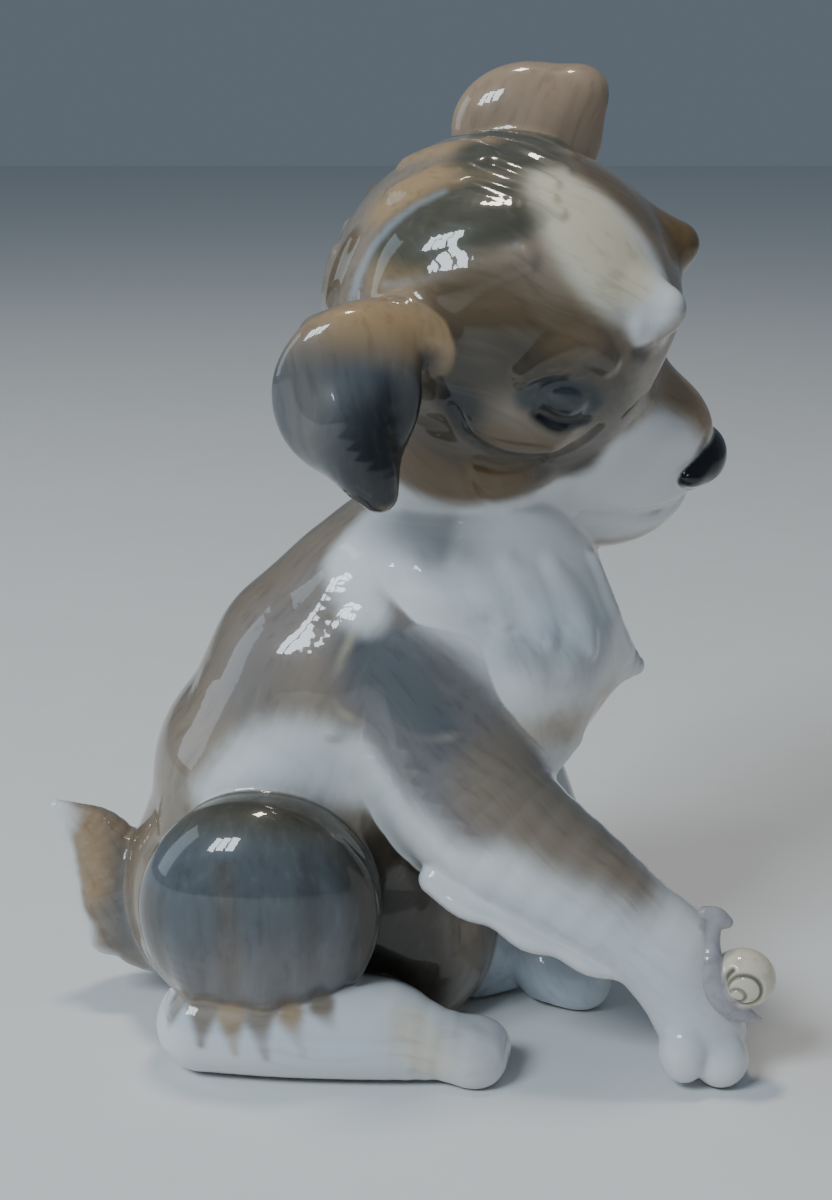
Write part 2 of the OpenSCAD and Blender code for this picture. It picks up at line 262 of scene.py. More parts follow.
def creases(base, rows, place=SEAT, k=0.8):
    """Creases in the base: each row has its points, widths and depth."""
    tools = [along(base, points, widths, -depth, place) for points, widths, depth in rows]
    return carve(k, base, *tools)


# ---------------------------------------------------------------- shapes


# Rows of hair locks and creases: points, width at each point, and lift or depth.
# Those of the head, its crown, face and mouth are in the head's frame, the others in the puppy's.
BODY_LOCKS = (
    ([(-14, -15, 81), (-20, -19, 70), (-24, -21, 60)], (5, 9, 3), 0.6),
    ([(-22, -12, 74), (-29, -16, 62), (-32, -17, 52)], (5, 9, 3), 0.6),
    ([(-9, -20.5, 74), (-12, -22, 66), (-12, -22.5, 57)], (4, 7, 2.5), 0.7),
    ([(-33, -10, 60), (-39, -13, 48), (-41, -14, 38)], (5, 9, 3), 0.5),
)


def body_clay():
    """The trunk from rump to neck, with the vent in its underside."""
    trunk = join(
        6,
        egg((-27, 0, 22), (22.6, 24.5, 23)),
        egg((-22.4, 0, 42.5), (21.2, 23.5, 22)),
        egg((-12.8, 0, 60.4), (21.6, 21.5, 20)),
        egg((-1.4, 0, 74.1), (20, 19, 16)),
        egg((9, 0, 84), (18.5, 17, 13)),
        egg((14.7, 0, 62), (18.8, 19, 18)),
        egg((-2, 0, 33), (19, 19, 20)),
        egg((-2, 0, 13), (17, 18, 17)),
    )
    vent = rope([VENT + (0, 0, -2), VENT + (0, 0, 3)], (3.5, 3.5))
    return carve(0.6, locks(trunk, both_sides(BODY_LOCKS), k=1.6), vent)


HEAD_LOCKS = (
    ([(-23.5, -5, 15), (-18.5, -4.5, 21), (-13.5, -1.5, 25)], (4, 6, 3.5), 0.8),
    ([(-4, -11, 26), (-13.5, -14.5, 20), (-19, -16.5, 13), (-20.5, -21, 7)], (5, 11, 10, 6), 1.1),
    ([(-2, -17, 22), (-9.5, -20, 17), (-15, -22.5, 10.5), (-16.5, -25, 6)], (4, 7, 6.5, 4), 0.9),
    ([(-26, -8.5, 6), (-26, -10, 0.5), (-25, -11.5, -4)], (3.5, 5, 3), 0.9),
    ([(-23, -2, -14), (-25, -5, -7), (-26, -4, 0)], (3, 5.5, 3), 0.8),
)
CROWN_STRANDS = (
    ([(-13.5, 6.5, 24), (-7.5, 3, 27.5), (-1.5, 0, 29)], (1.8, 2.8, 2), 0.6),
    ([(-15, 1.5, 24), (-9, -2.5, 27), (-2.5, -4.5, 28.5)], (1.8, 2.8, 2), 0.6),
    ([(-15.5, -3, 23.5), (-9.5, -6, 26), (-2, -7.5, 27.5)], (1.8, 2.8, 2), 0.6),
    ([(-13.5, -7.5, 23.5), (-8, -9.5, 25.5), (0, -9.5, 27)], (1.8, 2.8, 2), 0.6),
    ([(-13, 11, 22), (-7.5, 9, 25.5), (-1, 6, 28)], (1.8, 2.8, 2), 0.5),
)
FACE_ROLLS = (
    ([(5.5, -25.5, 9), (8.4, -24, 13), (11.7, -21.6, 15.5), (16.5, -20, 14)], (3, 4.6, 4.6, 3), 1.1),
    ([(4, -26.5, -2), (9, -25.8, -2.6), (15, -23.8, -1.8)], (5, 7, 5), 1.0),
    ([(18.5, -15.5, 18.6), (20, -14, 18.2)], (3.4, 3.4), 1.1),
    ([(7, -26, -12), (13, -24.5, -12.5), (18, -22, -11)], (4, 6, 4), 0.5),
)
FACE_CREASES = (
    ([(-1.5, -27, -1), (2.5, -26.5, -4.6), (7.5, -25.5, -6)], (1.6, 2.4, 2), 0.7),
    (
        [(7.5, -25.5, -6), (14.5, -22.9, -5.2), (18.5, -20.5, -2.6), (20.5, -19, 2)],
        (2, 2.2, 2.2, 1.6),
        0.7,
    ),
    ([(6, -26, -9.4), (11, -24.5, -8.8), (15.5, -22.5, -6.8)], (1.4, 1.8, 1.2), 0.4),
    ([(5, -26, -11), (8, -26, -14.5), (13, -24.5, -17)], (1.2, 1.6, 1), 0.35),
    ([(16, -23, -17.2), (19.5, -21.5, -17.4)], (1.6, 2), 0.5),
    ([(11, -24.2, 3.2), (14.5, -22.8, 2.8), (17.5, -21, 4)], (1.2, 1.8, 1), 0.5),
)
MOUTH = (
    ([(41, -2, -14), (38.5, -9.5, -14.5), (33, -13.5, -16), (27, -15.5, -18)], (2, 2.6, 2.2, 1.4), 0.8),
)


def head_clay():
    """Skull, cheeks and muzzle, with its locks, eye sockets, eyes and mouth."""
    skull = join(
        5,
        egg((-0.8, 0, 0.8), (27.2, 27, 27.2), HEAD),
        egg((5, 0, 4), (23.5, 24, 24), HEAD),
        egg((9, -9.5, 11), (11, 11, 11), HEAD),
        egg((9, 9.5, 11), (11, 11, 11), HEAD),
        egg((4, -12, -19), (17, 15, 15.5), HEAD),
        egg((4, 12, -19), (17, 15, 15.5), HEAD),
        egg((15, 0, -22.5), (18, 17, 12.5), HEAD),
        egg((16.7, 0, -12), (15.5, 16, 17), HEAD),
        egg((26.2, 0, -15.6), (17, 14.5, 17), HEAD),
        egg((30, 0, -4), (11, 8, 7), HEAD),
    )
    sockets = [egg((14, 27.2 * side, 6.2), (6.4, 4.6, 4.6), HEAD) for side in (-1, 1)]
    stop = egg((32, 0, 9), (7, 12, 6), HEAD)
    eyes = [egg((12.3, 20.6 * side, 6.2), (4.6, 4, 4), HEAD) for side in (-1, 1)]
    shaped = locks(skull, both_sides(HEAD_LOCKS) + list(CROWN_STRANDS), HEAD)
    shaped = locks(shaped, both_sides(FACE_ROLLS), HEAD, k=1.6)
    shaped = carve(3, shaped, *sockets, stop)
    shaped = join(0.7, shaped, *eyes)
    shaped = creases(shaped, both_sides(FACE_CREASES), HEAD)
    return creases(shaped, both_sides(MOUTH), HEAD, k=1.6)


def right_ear_clay():
    """The ear that hangs: a flap, hollow in front, under a rolled fold."""
    flap = join(
        5,
        egg((-9.3, -28, 112.5), (11.3, 4.6, 12.6), turned=(8, 6, 6)),
        rope([(-9, -29.3, 108), (-6.5, -31.2, 102), (-4.6, -31.8, 98)], (6.6, 5, 3)),
    )
    hollow = egg((0.5, -34, 109), (2.6, 3, 8), turned=(6, -12, 0))
    fold = rope(
        [(-13, -25.5, 120.5), (-6, -25.5, 122), (1, -23.5, 121), (8, -19, 117)],
        (3.6, 4.4, 4.6, 6),
    )
    return join(3, carve(3, flap, hollow), fold)


def left_ear_clay():
    """The ear that stands up and tips over at its end."""
    flap = join(
        4,
        egg((19.8, 15, 149.5), (13, 6, 11)),
        rope([(20, 14, 145), (25, 15, 152), (28.5, 15, 155.5)], (6, 5, 4.2)),
    )
    return carve(2, flap, egg((33, 17, 150), (4.5, 3.4, 7.5)))


def tuft_clay(side):
    """The tuft of hair over one eye."""
    tip = rope([(17, 9 * side, 19), (20.8, 9.8 * side, 20.4)], (4.8, 3.8), HEAD)
    return join(2, egg((16, 9 * side, 17.5), (7.5, 6, 6.5), HEAD), tip)


def nose_clay():
    """The nose pad with its nostrils."""
    upper = egg((40.8, 0, -7.2), (5, 6.2, 4.8), HEAD)
    lower = egg((39.6, 0, -11), (4.2, 4.4, 4.2), HEAD)
    lip = egg((46, -1.4, 94.6), (2.6, 3.2, 2))
    pad = join(2, join(2.5, upper, lower), lip)
    nostrils = [egg((44.4, 2.8 * side, -9), (1.6, 1, 1.1), HEAD) for side in (-1, 1)]
    return carve(0.6, pad, *nostrils)


RUFF_LOCKS = (
    ([(8, -21, 86), (12, -21, 80), (15, -20.5, 74.5)], (4, 6, 2.5), 0.8),
    ([(16, -19.5, 84), (20, -19, 77), (22, -19.5, 71.5)], (4, 6, 2.5), 0.8),
    ([(23, -15.5, 82), (27, -15.5, 75), (29, -16, 69)], (4, 5.5, 2.5), 0.8),
    ([(30, -6, 81), (34, -6, 73), (36.5, -4, 65)], (3, 4, 2.5), 0.8),
    ([(1, -21, 84), (4, -22, 77), (9, -22.5, 71)], (4, 6, 3), 0.7),
    ([(14, -21.5, 69), (18, -21, 62), (21, -18.5, 55)], (5, 7, 3), 0.7),
    ([(25, -17, 66), (27.5, -15.5, 59), (27.5, -12, 52.5)], (5, 7, 3), 0.8),
)
RUFF_CREASES = (
    ([(32.5, -5, 57.5), (30, -8, 54), (27.5, -9, 51)], (1.2, 2, 1.2), 0.6),
)


def ruff_clay():
    """The bib of hair on the chest, which ends in a point."""
    bib = join(
        4,
        egg((8.5, 0, 79.5), (22.8, 21.5, 12), turned=(0, 4, 0)),
        egg((18.5, 0, 67), (17, 21, 17)),
        rope([(30, 0, 64), (38, 0, 61.5)], (7, 1.8)),
        rope([(18, -9, 62), (22, -10.5, 52)], (10, 5.5)),
        rope([(18, 9, 62), (22, 10.5, 52)], (10, 5.5)),
    )
    return creases(locks(bib, both_sides(RUFF_LOCKS), k=1.4), both_sides(RUFF_CREASES))


def right_foreleg_clay():
    """The foreleg that reaches out, with the four toes of its paw."""
    toes = (
        egg((44.2, -32.6, 6.8), (4.2, 4.4, 5.6)),
        egg((50.2, -31.8, 4.8), (4.6, 4.4, 4.8)),
        egg((51.2, -27.5, 6.6), (3.8, 4.4, 6.6)),
        egg((47, -24.5, 4.6), (4.6, 3.6, 4.6)),
    )
    limb = join(
        4,
        rope(
            [(3, -9, 63), (6, -13.5, 50), (13, -20, 41), (28, -26, 32), (41, -27.5, 22)],
            (15, 14.5, 12.5, 9.6, 7.6),
        ),
        rope([(41, -27.5, 22), (44.6, -28.5, 14), (47.4, -28.6, 8)], (7.3, 6.8, 6.6)),
    )
    return join(0.9, limb, *toes)


FRINGE_EDGE = (
    (4, -25.5, 33.2),
    (9, -27.4, 30.2),
    (14, -28.6, 28.6),
    (19, -29.4, 25.4),
    (24, -29.8, 24),
    (29, -30.2, 21.2),
    (34, -30, 19.6),
)
FRINGE_CREASES = (
    ([(6, -28.5, 32), (14.4, -31, 29.2), (24, -32, 25.2), (31, -32, 21)], (0.8, 1, 1, 0.8), 0.5),
)


def fringe_clay():
    """The wavy fringe of hair under the foreleg that reaches out."""
    edge = rope(FRINGE_EDGE, (2.6, 2.9, 2.5, 2.8, 2.4, 2.5, 1.8))
    return creases(edge, FRINGE_CREASES)


def left_foreleg_clay():
    """The foreleg that stands under the chest."""
    return join(
        4,
        rope([(6, 16, 60), (18, 13, 40), (25, 8, 22), (26, 3, 9)], (11, 8.5, 7.5, 7)),
        egg((26, -1, 6.2), (8, 7, 6.2)),
        egg((30.5, -4, 5), (4.6, 4, 5)),
    )


def haunch_clay(side):
    """A folded haunch with a roll of hair down its front."""
    mound = egg((-24.3, 23.6 * side, 27.4), (19.8, 13, 20), turned=(-6 * side, 0, 0))
    rows = [([(-34, 31 * side, 26), (-36, 31 * side, 12)], (4, 2), 0.5)]
    rows += [([(-24, 35 * side, 26), (-23, 34 * side, 10)], (5, 2), 0.5)]
    rows += [([(-9, 31 * side, 42), (-4.8, 29 * side, 30), (-8, 29 * side, 17)], (2, 3, 2), 0.9)]
    return locks(mound, rows, k=2)


def hind_foot_clay(side):
    """A hind foot that lies flat under its haunch."""
    if side < 0:
        return join(
            4,
            rope(
                [(-33.6, -25.5, 8), (-20, -27.4, 7.6), (-4, -28.4, 7), (8.5, -29, 5.2)],
                (8, 7.7, 7.1, 5.2),
            ),
            egg((-8, -24, 8.5), (11, 8, 6.6)),
            egg((11, -32, 4.2), (4.4, 3.6, 4.2)),
            egg((12.2, -26.5, 4.2), (4.2, 3.6, 4.2)),
        )
    return join(
        4,
        rope([(-34, 22, 9), (-16, 18, 9), (0, 9, 7.2), (12, 3.5, 6.6)], (8, 9, 7, 6.6)),
        egg((-24, 18, 12), (14, 9, 9)),
        egg((11.5, 0, 8), (6, 5, 7)),
        egg((18, 3, 6.4), (5, 4.4, 5.6)),
    )


def tail_clay():
    """The short tail with its hooked tip and three barbs of hair."""
    return join(
        2.5,
        rope(
            [
                (-42, 2, 12),
                (-47, 2, 15),
                (-51, 2, 23),
                (-54, 1.5, 30),
                (-58, 1, 33.5),
                (-61.3, 0.5, 36),
            ],
            (8, 8.6, 7, 4.6, 2.6, 1),
        ),
        rope([(-53, -3, 13), (-55.5, -1, 19)], (3, 2)),
        rope([(-54, -2, 20), (-57.2, 0, 25.5)], (3, 1.6)),
        rope([(-55, 0, 26), (-59, 1, 31)], (3, 1.6)),
    )


SHELL = spot("snail_shell", 0.5, 0.5, 0.5) + (0.9, -7.4, 2.4)
SNAIL_FOOT = spot("snail_body", 0.5, 0.5, 0.0)
WHORL_START = 150  # where the groove starts at the middle of the whorl, in degrees
WHORL_TURN = 740  # how far round it winds, in degrees
WHORL_INNER = 0.8  # how far from the whorl's middle it starts
WHORL_OUTER = 4.3  # and where it ends
WHORL_SHIFT = np.array((-2.2, 0, -1.5))  # from the shell's middle to the whorl's
CREEP = (
    (5, -5, 4),
    (3, -6, 5.1),
    (0.7, -6.6, 6.6),
    (-2, -7, 9.6),
    (-3.5, -6.6, 13.6),
    (-3.4, -5.4, 17.7),
    (-3, -5, 21),
)


def shell_mound():
    """The shell without its groove."""
    return egg(SHELL, (5.3, 4.3, 4.8), turned=(0, 12, 0))


def shell_clay():
    """A domed shell with a groove that winds out from a whorl near its lower edge."""
    share = np.linspace(0, 1, 40)
    swing = math.radians(WHORL_START) - share * math.radians(WHORL_TURN)
    wide = WHORL_INNER + (WHORL_OUTER - WHORL_INNER) * share
    path = np.column_stack([wide * np.cos(swing), 0 * share - 4, wide * np.sin(swing)])
    path += (1 - share)[:, None] * WHORL_SHIFT
    return creases(shell_mound(), [(SHELL + path, 0.7 + 0.3 * share, 0.5)], k=0.3)


def snail_clay():
    """The foot lies along the wrist and the head rears up at its upper end."""
    places = [SNAIL_FOOT + place for place in CREEP]
    brow = [places[-1] + step for step in ((-1.6, -0.4, 1.6), (0.4, -0.4, 1.2), (2, -0.4, 0))]
    return join(1, rope(places, (0.4, 1.2, 2, 2.5, 2.3, 1.5, 1.4)), rope(brow, (1.1, 1.3, 1)))


# How widely each piece runs into the ones before it, in millimetres.
BLENDS = {
    "body_casting": 1.0,
    "chest_ruff": 3.0,
    "right_foreleg": 5.0,
    "left_foreleg": 5.0,
    "foreleg_fringe": 1.0,
    "right_haunch": 1.2,
    "left_haunch": 1.2,
    "right_hind_foot": 1.0,
    "left_hind_foot": 1.0,
    "tail": 1.5,
    "head_casting": 1.2,
    "right_ear": 2.0,
    "left_ear": 2.5,
    "nose_pad": 0.6,
    "right_brow_tuft": 2.0,
    "left_brow_tuft": 2.0,
}
SNAIL_BLENDS = {"snail_shell": 0.3}


def figure_clay():
    """Every lump of the puppy by the name of its CAD piece."""
    return {
        "body_casting": body_clay(),
        "chest_ruff": ruff_clay(),
        "right_foreleg": right_foreleg_clay(),
        "left_foreleg": left_foreleg_clay(),
        "foreleg_fringe": fringe_clay(),
        "right_haunch": haunch_clay(-1),
        "left_haunch": haunch_clay(1),
        "right_hind_foot": hind_foot_clay(-1),
        "left_hind_foot": hind_foot_clay(1),
        "tail": tail_clay(),
        "head_casting": head_clay(),
        "right_ear": right_ear_clay(),
        "left_ear": left_ear_clay(),
        "nose_pad": nose_clay(),
        "right_brow_tuft": tuft_clay(-1),
        "left_brow_tuft": tuft_clay(1),
    }


def whole(lumps, blends, floor=0.0):
    """The lumps run together, and cut level where they stand."""

    def measure(points):
        out = None
        for name, lump in lumps.items():
            here = lump(points)
            out = here if out is None else soft_min(out, here, blends[name])
        return -soft_min(-out, points[:, 2] - floor, FOOT_ROUND)

    low = np.min([lump.low for lump in lumps.values()], axis=0)
    high = np.max([lump.high for lump in lumps.values()], axis=0)
    low[2] = max(low[2], floor)
    return Clay(measure, low, high)


# ---------------------------------------------------------------- casting


def spread(values, coarse, fine, axis):
    """Values on coarse stops along one axis, read off at the fine stops."""
    at = np.clip(np.searchsorted(coarse, fine, "right") - 1, 0, len(coarse) - 2)
    t = (fine - coarse[at]) / (coarse[at + 1] - coarse[at])
    shape = [1, 1, 1]
    shape[axis] = -1
    t = t.reshape(shape).astype(np.float32)
    return np.take(values, at, axis) * (1 - t) + np.take(values, at + 1, axis) * t


def cast(clay, step):
    """Points and four-sided faces on the clay's surface, about a step apart."""
    stops = []
    for low, high in zip(clay.low - 2 * step, clay.high + 2 * step):
        count = int(math.ceil((high - low) / step / COARSE)) * COARSE + 1
        stops.append(low + step * np.arange(count))
    rough = [s[::COARSE] for s in stops]
    grid = np.stack(np.meshgrid(*rough, indexing="ij"), -1)
    field = clay(grid.reshape(-1, 3)).reshape(grid.shape[:3]).astype(np.float32)
    for axis in range(3):
        field = spread(field, rough[axis], stops[axis], axis)
    band = np.argwhere(np.abs(field) < BAND * step)
    places = np.column_stack([stops[i][band[:, i]] for i in range(3)])
    field[tuple(band.T)] = clay(places)
    inside = field < 0
    count = np.zeros(tuple(n - 1 for n in inside.shape), np.uint8)
    corners = [(i, j, k) for i in (0, 1) for j in (0, 1) for k in (0, 1)]
    for i, j, k in corners:
        count += inside[i : i + count.shape[0], j : j + count.shape[1], k : k + count.shape[2]]
    cells = np.argwhere((count > 0) & (count < 8))
    number = np.full(count.shape, -1, np.int32)
    number[tuple(cells.T)] = np.arange(len(cells))
    values = np.stack([field[tuple((cells + c).T)] for c in corners], 1)
    total = np.zeros((len(cells), 3))
    hits = np.zeros(len(cells))
    for a, ca in enumerate(corners):
        for b, cb in enumerate(corners):
            if sum(cb) - sum(ca) != 1 or sum(abs(p - q) for p, q in zip(ca, cb)) != 1:
                continue
            cut = (values[:, a] < 0) != (values[:, b] < 0)
            gap = np.where(cut, values[:, a] - values[:, b], 1)
            t = np.where(cut, values[:, a] / gap, 0)[:, None]
            total += np.where(cut[:, None], np.array(ca) * (1 - t) + np.array(cb) * t, 0)
            hits += cut
    points = np.stack([stops[i][cells[:, i]] for i in range(3)], 1) + total / hits[:, None] * step
    faces = []
    for axis in range(3):
        one, two = (axis + 1) % 3, (axis + 2) % 3
        a = np.take(inside, range(inside.shape[axis] - 1), axis)
        b = np.take(inside, range(1, inside.shape[axis]), axis)
        edges = np.argwhere(a != b)
        keep = np.ones(len(edges), bool)
        for side in (one, two):
            keep &= (edges[:, side] > 0) & (edges[:, side] < inside.shape[side] - 1)
        edges = edges[keep]
        ring = []
        for p, q in ((-1, -1), (0, -1), (0, 0), (-1, 0)):
            shift = np.zeros(3, int)
            shift[one], shift[two] = p, q
            ring.append(number[tuple((edges + shift).T)])
        ring = np.stack(ring, 1)
        flip = ~a[tuple(edges.T)]
        ring[flip] = ring[flip][:, ::-1]
        faces.append(ring)
    faces = np.vstack(faces)
    for _ in range(2):
        far, lean = clay.slope(points)
        move = lean * (far / np.maximum((lean**2).sum(1), 0.2))[:, None]
        length = np.linalg.norm(move, axis=1)[:, None]
        points = points - move * np.minimum(1, step / np.maximum(length, 1e-9))
    return points, faces


def face_normals(points, faces):
    """The direction across each face, as long as twice its area."""
    along_one = points[faces[:, 2]] - points[faces[:, 0]]
    along_two = points[faces[:, 3]] - points[faces[:, 1]]
    return np.cross(along_one, along_two)


def point_normals(points, faces):
    """The outward direction at each point, from the faces around it."""
    across = face_normals(points, faces)
    out = np.zeros_like(points)
    for corner in range(4):
        for axis in range(3):
            out[:, axis] += np.bincount(faces[:, corner], across[:, axis], len(points))
    return out / np.maximum(np.linalg.norm(out, axis=1), 1e-12)[:, None]


def rims(faces):
    """The open edges of some faces, followed round into loops of points."""
    starts = faces.ravel()
    ends = np.roll(faces, -1, axis=1).ravel()
    span = int(faces.max()) + 1
    there = starts.astype(np.int64) * span + ends
    back = ends.astype(np.int64) * span + starts
    alone = ~np.isin(there, back)
    follow = {}
    for a, b in zip(starts[alone].tolist(), ends[alone].tolist()):
        follow.setdefault(a, []).append(b)
    loops = []
    while follow:
        first = next(iter(follow))
        loop, here = [], first
        while here in follow:
            onward = follow[here].pop()
            if not follow[here]:
                del follow[here]
            loop.append(here)
            here = onward
            if here == first:
                break
        if len(loop) > 2:
            loops.append(loop)
    return loops


def settle(faces, owner):
    """Give each island of faces to the piece around it, so that every piece is in one part."""
    edges = np.sort(np.stack([faces, np.roll(faces, -1, axis=1)], -1).reshape(-1, 2), axis=1)
    order = np.lexsort((edges[:, 1], edges[:, 0]))
    same = (edges[order[1:]] == edges[order[:-1]]).all(1)
    one, two = order[1:][same] // 4, order[:-1][same] // 4
    kin = owner[one] == owner[two]
    a, b = one[kin], two[kin]
    # Faces that touch and have one owner take the lowest number among them, which is their group.
    group = np.arange(len(faces))
    while True:
        low = group.copy()
        np.minimum.at(low, group[a], group[b])
        np.minimum.at(low, group[b], group[a])
        low = low[low]
        if (low == group).all():
            break
        group = low
    size = np.bincount(group, minlength=len(faces))
    best = np.array([size[group[owner == i]].max(initial=0) for i in range(owner.max() + 1)])
    stray = size[group] < best[owner]
    # Faces of the smaller groups take their neighbours' owner, from the outside in.
    while True:
        gives = stray[one] & ~stray[two]
        takes = stray[two] & ~stray[one]
        if not gives.any() and not takes.any():
            return owner
        owner[one[gives]] = owner[two[gives]]
        owner[two[takes]] = owner[one[takes]]
        stray[one[gives]] = False
        stray[two[takes]] = False


class Surface:
    """One cast surface, shared out among the pieces that it belongs to."""

    def __init__(self, lumps, blends, step, floor=0.0):
        self.lumps = lumps
        self.clay = whole(lumps, blends, floor)
        self.points, self.faces = cast(self.clay, step)
        self.names = list(lumps)
        far = np.stack([lumps[name](self.points) for name in self.names], 1)
        self.owner = settle(self.faces, far[self.faces].sum(1).argmin(1))
        self.point_owner = far.argmin(1)
        self.share = {}
        for i, name in enumerate(self.names):
            other = np.delete(far, i, axis=1).min(1)
            self.share[name] = np.clip(0.5 + (other - far[:, i]) / PAINT_EDGE, 0, 1)
        self.normals = point_normals(self.points, self.faces)
        self.glaze = np.ones((len(self.points), 3))
        self.cover = np.zeros(len(self.points))
        self.comb = np.zeros_like(self.points)


def make_piece(surface, name, label, material):
    """One closed piece of the surface as a Blender object, in place of its CAD piece."""
    mine = surface.faces[surface.owner == surface.names.index(label)]
    used, local = np.unique(mine, return_inverse=True)
    quads = local.reshape(-1, 4)
    points = surface.points[used]
    polygons = quads.tolist()
    extra = []
    for loop in rims(quads):
        middle = points[loop].mean(0)
        tip = len(points) + len(extra)
        extra.append(middle)
        for a, b in zip(loop, loop[1:] + loop[:1]):
            polygons.append([b, a, tip])
    if extra:
        points = np.vstack([points, extra])
    mesh = bpy.data.meshes.new(name)
    mesh.from_pydata((points * MM).tolist(), [], polygons)
    mesh.update()
    fill = len(points) - len(used)
    rows = (
        ("glaze", "FLOAT_COLOR", surface.glaze, 1),
        ("cover", "FLOAT", surface.cover[:, None], 0),
        ("comb", "FLOAT_VECTOR", surface.comb, 0),
    )
    for title, kind, values, alpha in rows:
        part = np.vstack([values[used], np.zeros((fill, values.shape[1]))])
        if alpha:
            part = np.column_stack([part, np.ones(len(part))])
        stored = mesh.attributes.new(title, kind, "POINT")
        key = {"FLOAT": "value", "FLOAT_VECTOR": "vector"}.get(kind, "color")
        stored.data.foreach_set(key, part.astype(np.float32).ravel())
    mesh.polygons.foreach_set("use_smooth", np.ones(len(mesh.polygons), bool))
    normals = np.vstack([surface.normals[used], np.zeros((fill, 3))])
    mesh.normals_split_custom_set_from_vertices(normals.tolist())
    piece = bpy.data.objects.new(name, mesh)
    bpy.context.scene.collection.objects.link(piece)
    mesh.materials.append(material)
    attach(piece, "root")
    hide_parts(label)
    return piece


# ---------------------------------------------------------------- glaze


class Socket:
    """A shader value, so that sums can be written as sums."""

    def __init__(self, net, out):
        self.net = net
        self.out = out

    def _sum(self, kind, a, b):
        return self.net.node("ShaderNodeMath", {"operation": kind}, [a, b])

    def __add__(self, other):
        return self._sum("ADD", self, other)

    __radd__ = __add__

    def __sub__(self, other):
        return self._sum("SUBTRACT", self, other)

    def __rsub__(self, other):
        return self._sum("SUBTRACT", other, self)

    def __mul__(self, other):
        return self._sum("MULTIPLY", self, other)

    __rmul__ = __mul__

    def __truediv__(self, other):
        return self._sum("DIVIDE", self, other)

    def __pow__(self, other):
        return self._sum("POWER", self, other)

    def between(self, low, high):
        """0 below low, 1 above high, and a soft step from one to the other."""
        settings = {"interpolation_type": "SMOOTHSTEP"}
        return self.net.node("ShaderNodeMapRange", settings, {0: self, 1: low, 2: high})


class Net:
    """The nodes of one material."""

    def __init__(self, name):
        self.material = bpy.data.materials.new(name)
        self.material.use_nodes = True
        self.tree = self.material.node_tree
        self.tree.nodes.clear()

    def node(self, kind, settings=None, values=(), out=0):
        """A node of that type, with its settings made first and its sockets then filled."""
        made = self.tree.nodes.new(kind)
        for key, value in (settings or {}).items():
            setattr(made, key, value)
        pairs = values.items() if isinstance(values, dict) else enumerate(values)
        for key, value in pairs:
            if isinstance(value, Socket):
                self.tree.links.new(value.out, made.inputs[key])
            else:
                made.inputs[key].default_value = value
        return Socket(self, made.outputs[out]) if len(made.outputs) else None

    def mix(self, share, a, b, kind="MIX"):
        """Colour a turning into colour b by a share."""
        settings = {"data_type": "RGBA", "blend_type": kind}
        return self.node("ShaderNodeMix", settings, {0: share, 6: a, 7: b}, out=2)

    def noise(self, where, scale, detail=2.0, rough=0.5):
        values = {"Vector": where, "Scale": scale, "Detail": detail, "Roughness": rough}
        return self.node("ShaderNodeTexNoise", {}, values)


UNGLAZED = 0.0005  # the underside has no glaze up to this height, in metres
CLOUDS = 70.0  # how close the soft clouds in the glaze lie, per metre
SPECKS = 1500.0  # and the kiln's specks
SPECK_COLOUR = (0.05, 0.045, 0.04, 1)
RIPPLE = 0.0003  # how deep the clouds press into the glaze, in metres


def glaze_material(name, look):
    """Painted porcelain: brushed colour over the white, under a clear coat of glaze."""
    net = Net(name)
    glaze = net.node("ShaderNodeAttribute", {"attribute_name": "glaze"})
    cover = net.node("ShaderNodeAttribute", {"attribute_name": "cover"}, out=2)
    comb = net.node("ShaderNodeAttribute", {"attribute_name": "comb"}, out=1)
    where = net.node("ShaderNodeTexCoord", out=3)
    hairs = net.noise(comb, 1.0, 2.0, 0.5)
    cloud = net.noise(where, CLOUDS, 1.5)
    specks = net.noise(where, SPECKS, 2.0)
    ragged = cover + (hairs - 0.5) * cover * (1 - cover) * look.ragged
    laid = ragged.between(0.02, 0.98)
    deep = net.mix(1.0, glaze, (*look.shade, 1), "MULTIPLY")
    thin = net.mix(0.5, glaze, (*look.white, 1))
    paint = net.mix(hairs.between(0.5, 0.72) * look.strokes, glaze, deep)
    paint = net.mix((1 - hairs).between(0.52, 0.8) * look.strokes * 0.2, paint, thin)
    white = net.mix(cloud * 0.5, (*look.white, 1), (*look.shadow_white, 1))
    colour = net.mix(laid, white, paint)
    colour = net.mix(specks.between(0.74, 0.8) * 0.1, colour, SPECK_COLOUR)
    height = net.node("ShaderNodeSeparateXYZ", {}, [where], out=2)
    bare = height.between(UNGLAZED * 1.5, UNGLAZED)
    colour = net.mix(bare, colour, (*look.bisque, 1))
    ripple = {"Strength": 0.1, "Distance": RIPPLE, "Height": cloud}
    bump = net.node("ShaderNodeBump", {}, ripple)
    shader = net.node(
        "ShaderNodeBsdfPrincipled",
        {},
        {
            "Base Color": colour,
            "Roughness": 0.26 + cloud * 0.1 + bare * 0.5,
            "Normal": bump,
            "IOR": 1.45,
            "Specular IOR Level": 0.15,
            "Coat Weight": 1 - bare,
            "Coat Roughness": look.haze,
            "Coat IOR": 1.5,
        },
    )
    net.node("ShaderNodeOutputMaterial", {}, [shader])
    return net.material


def srgb(r, g, b):
    """A colour given as 0 to 255 for each light, as the renderer counts it."""
    parts = [c / 255 for c in (r, g, b)]
    return tuple(c / 12.92 if c < 0.04045 else ((c + 0.055) / 1.055) ** 2.4 for c in parts)


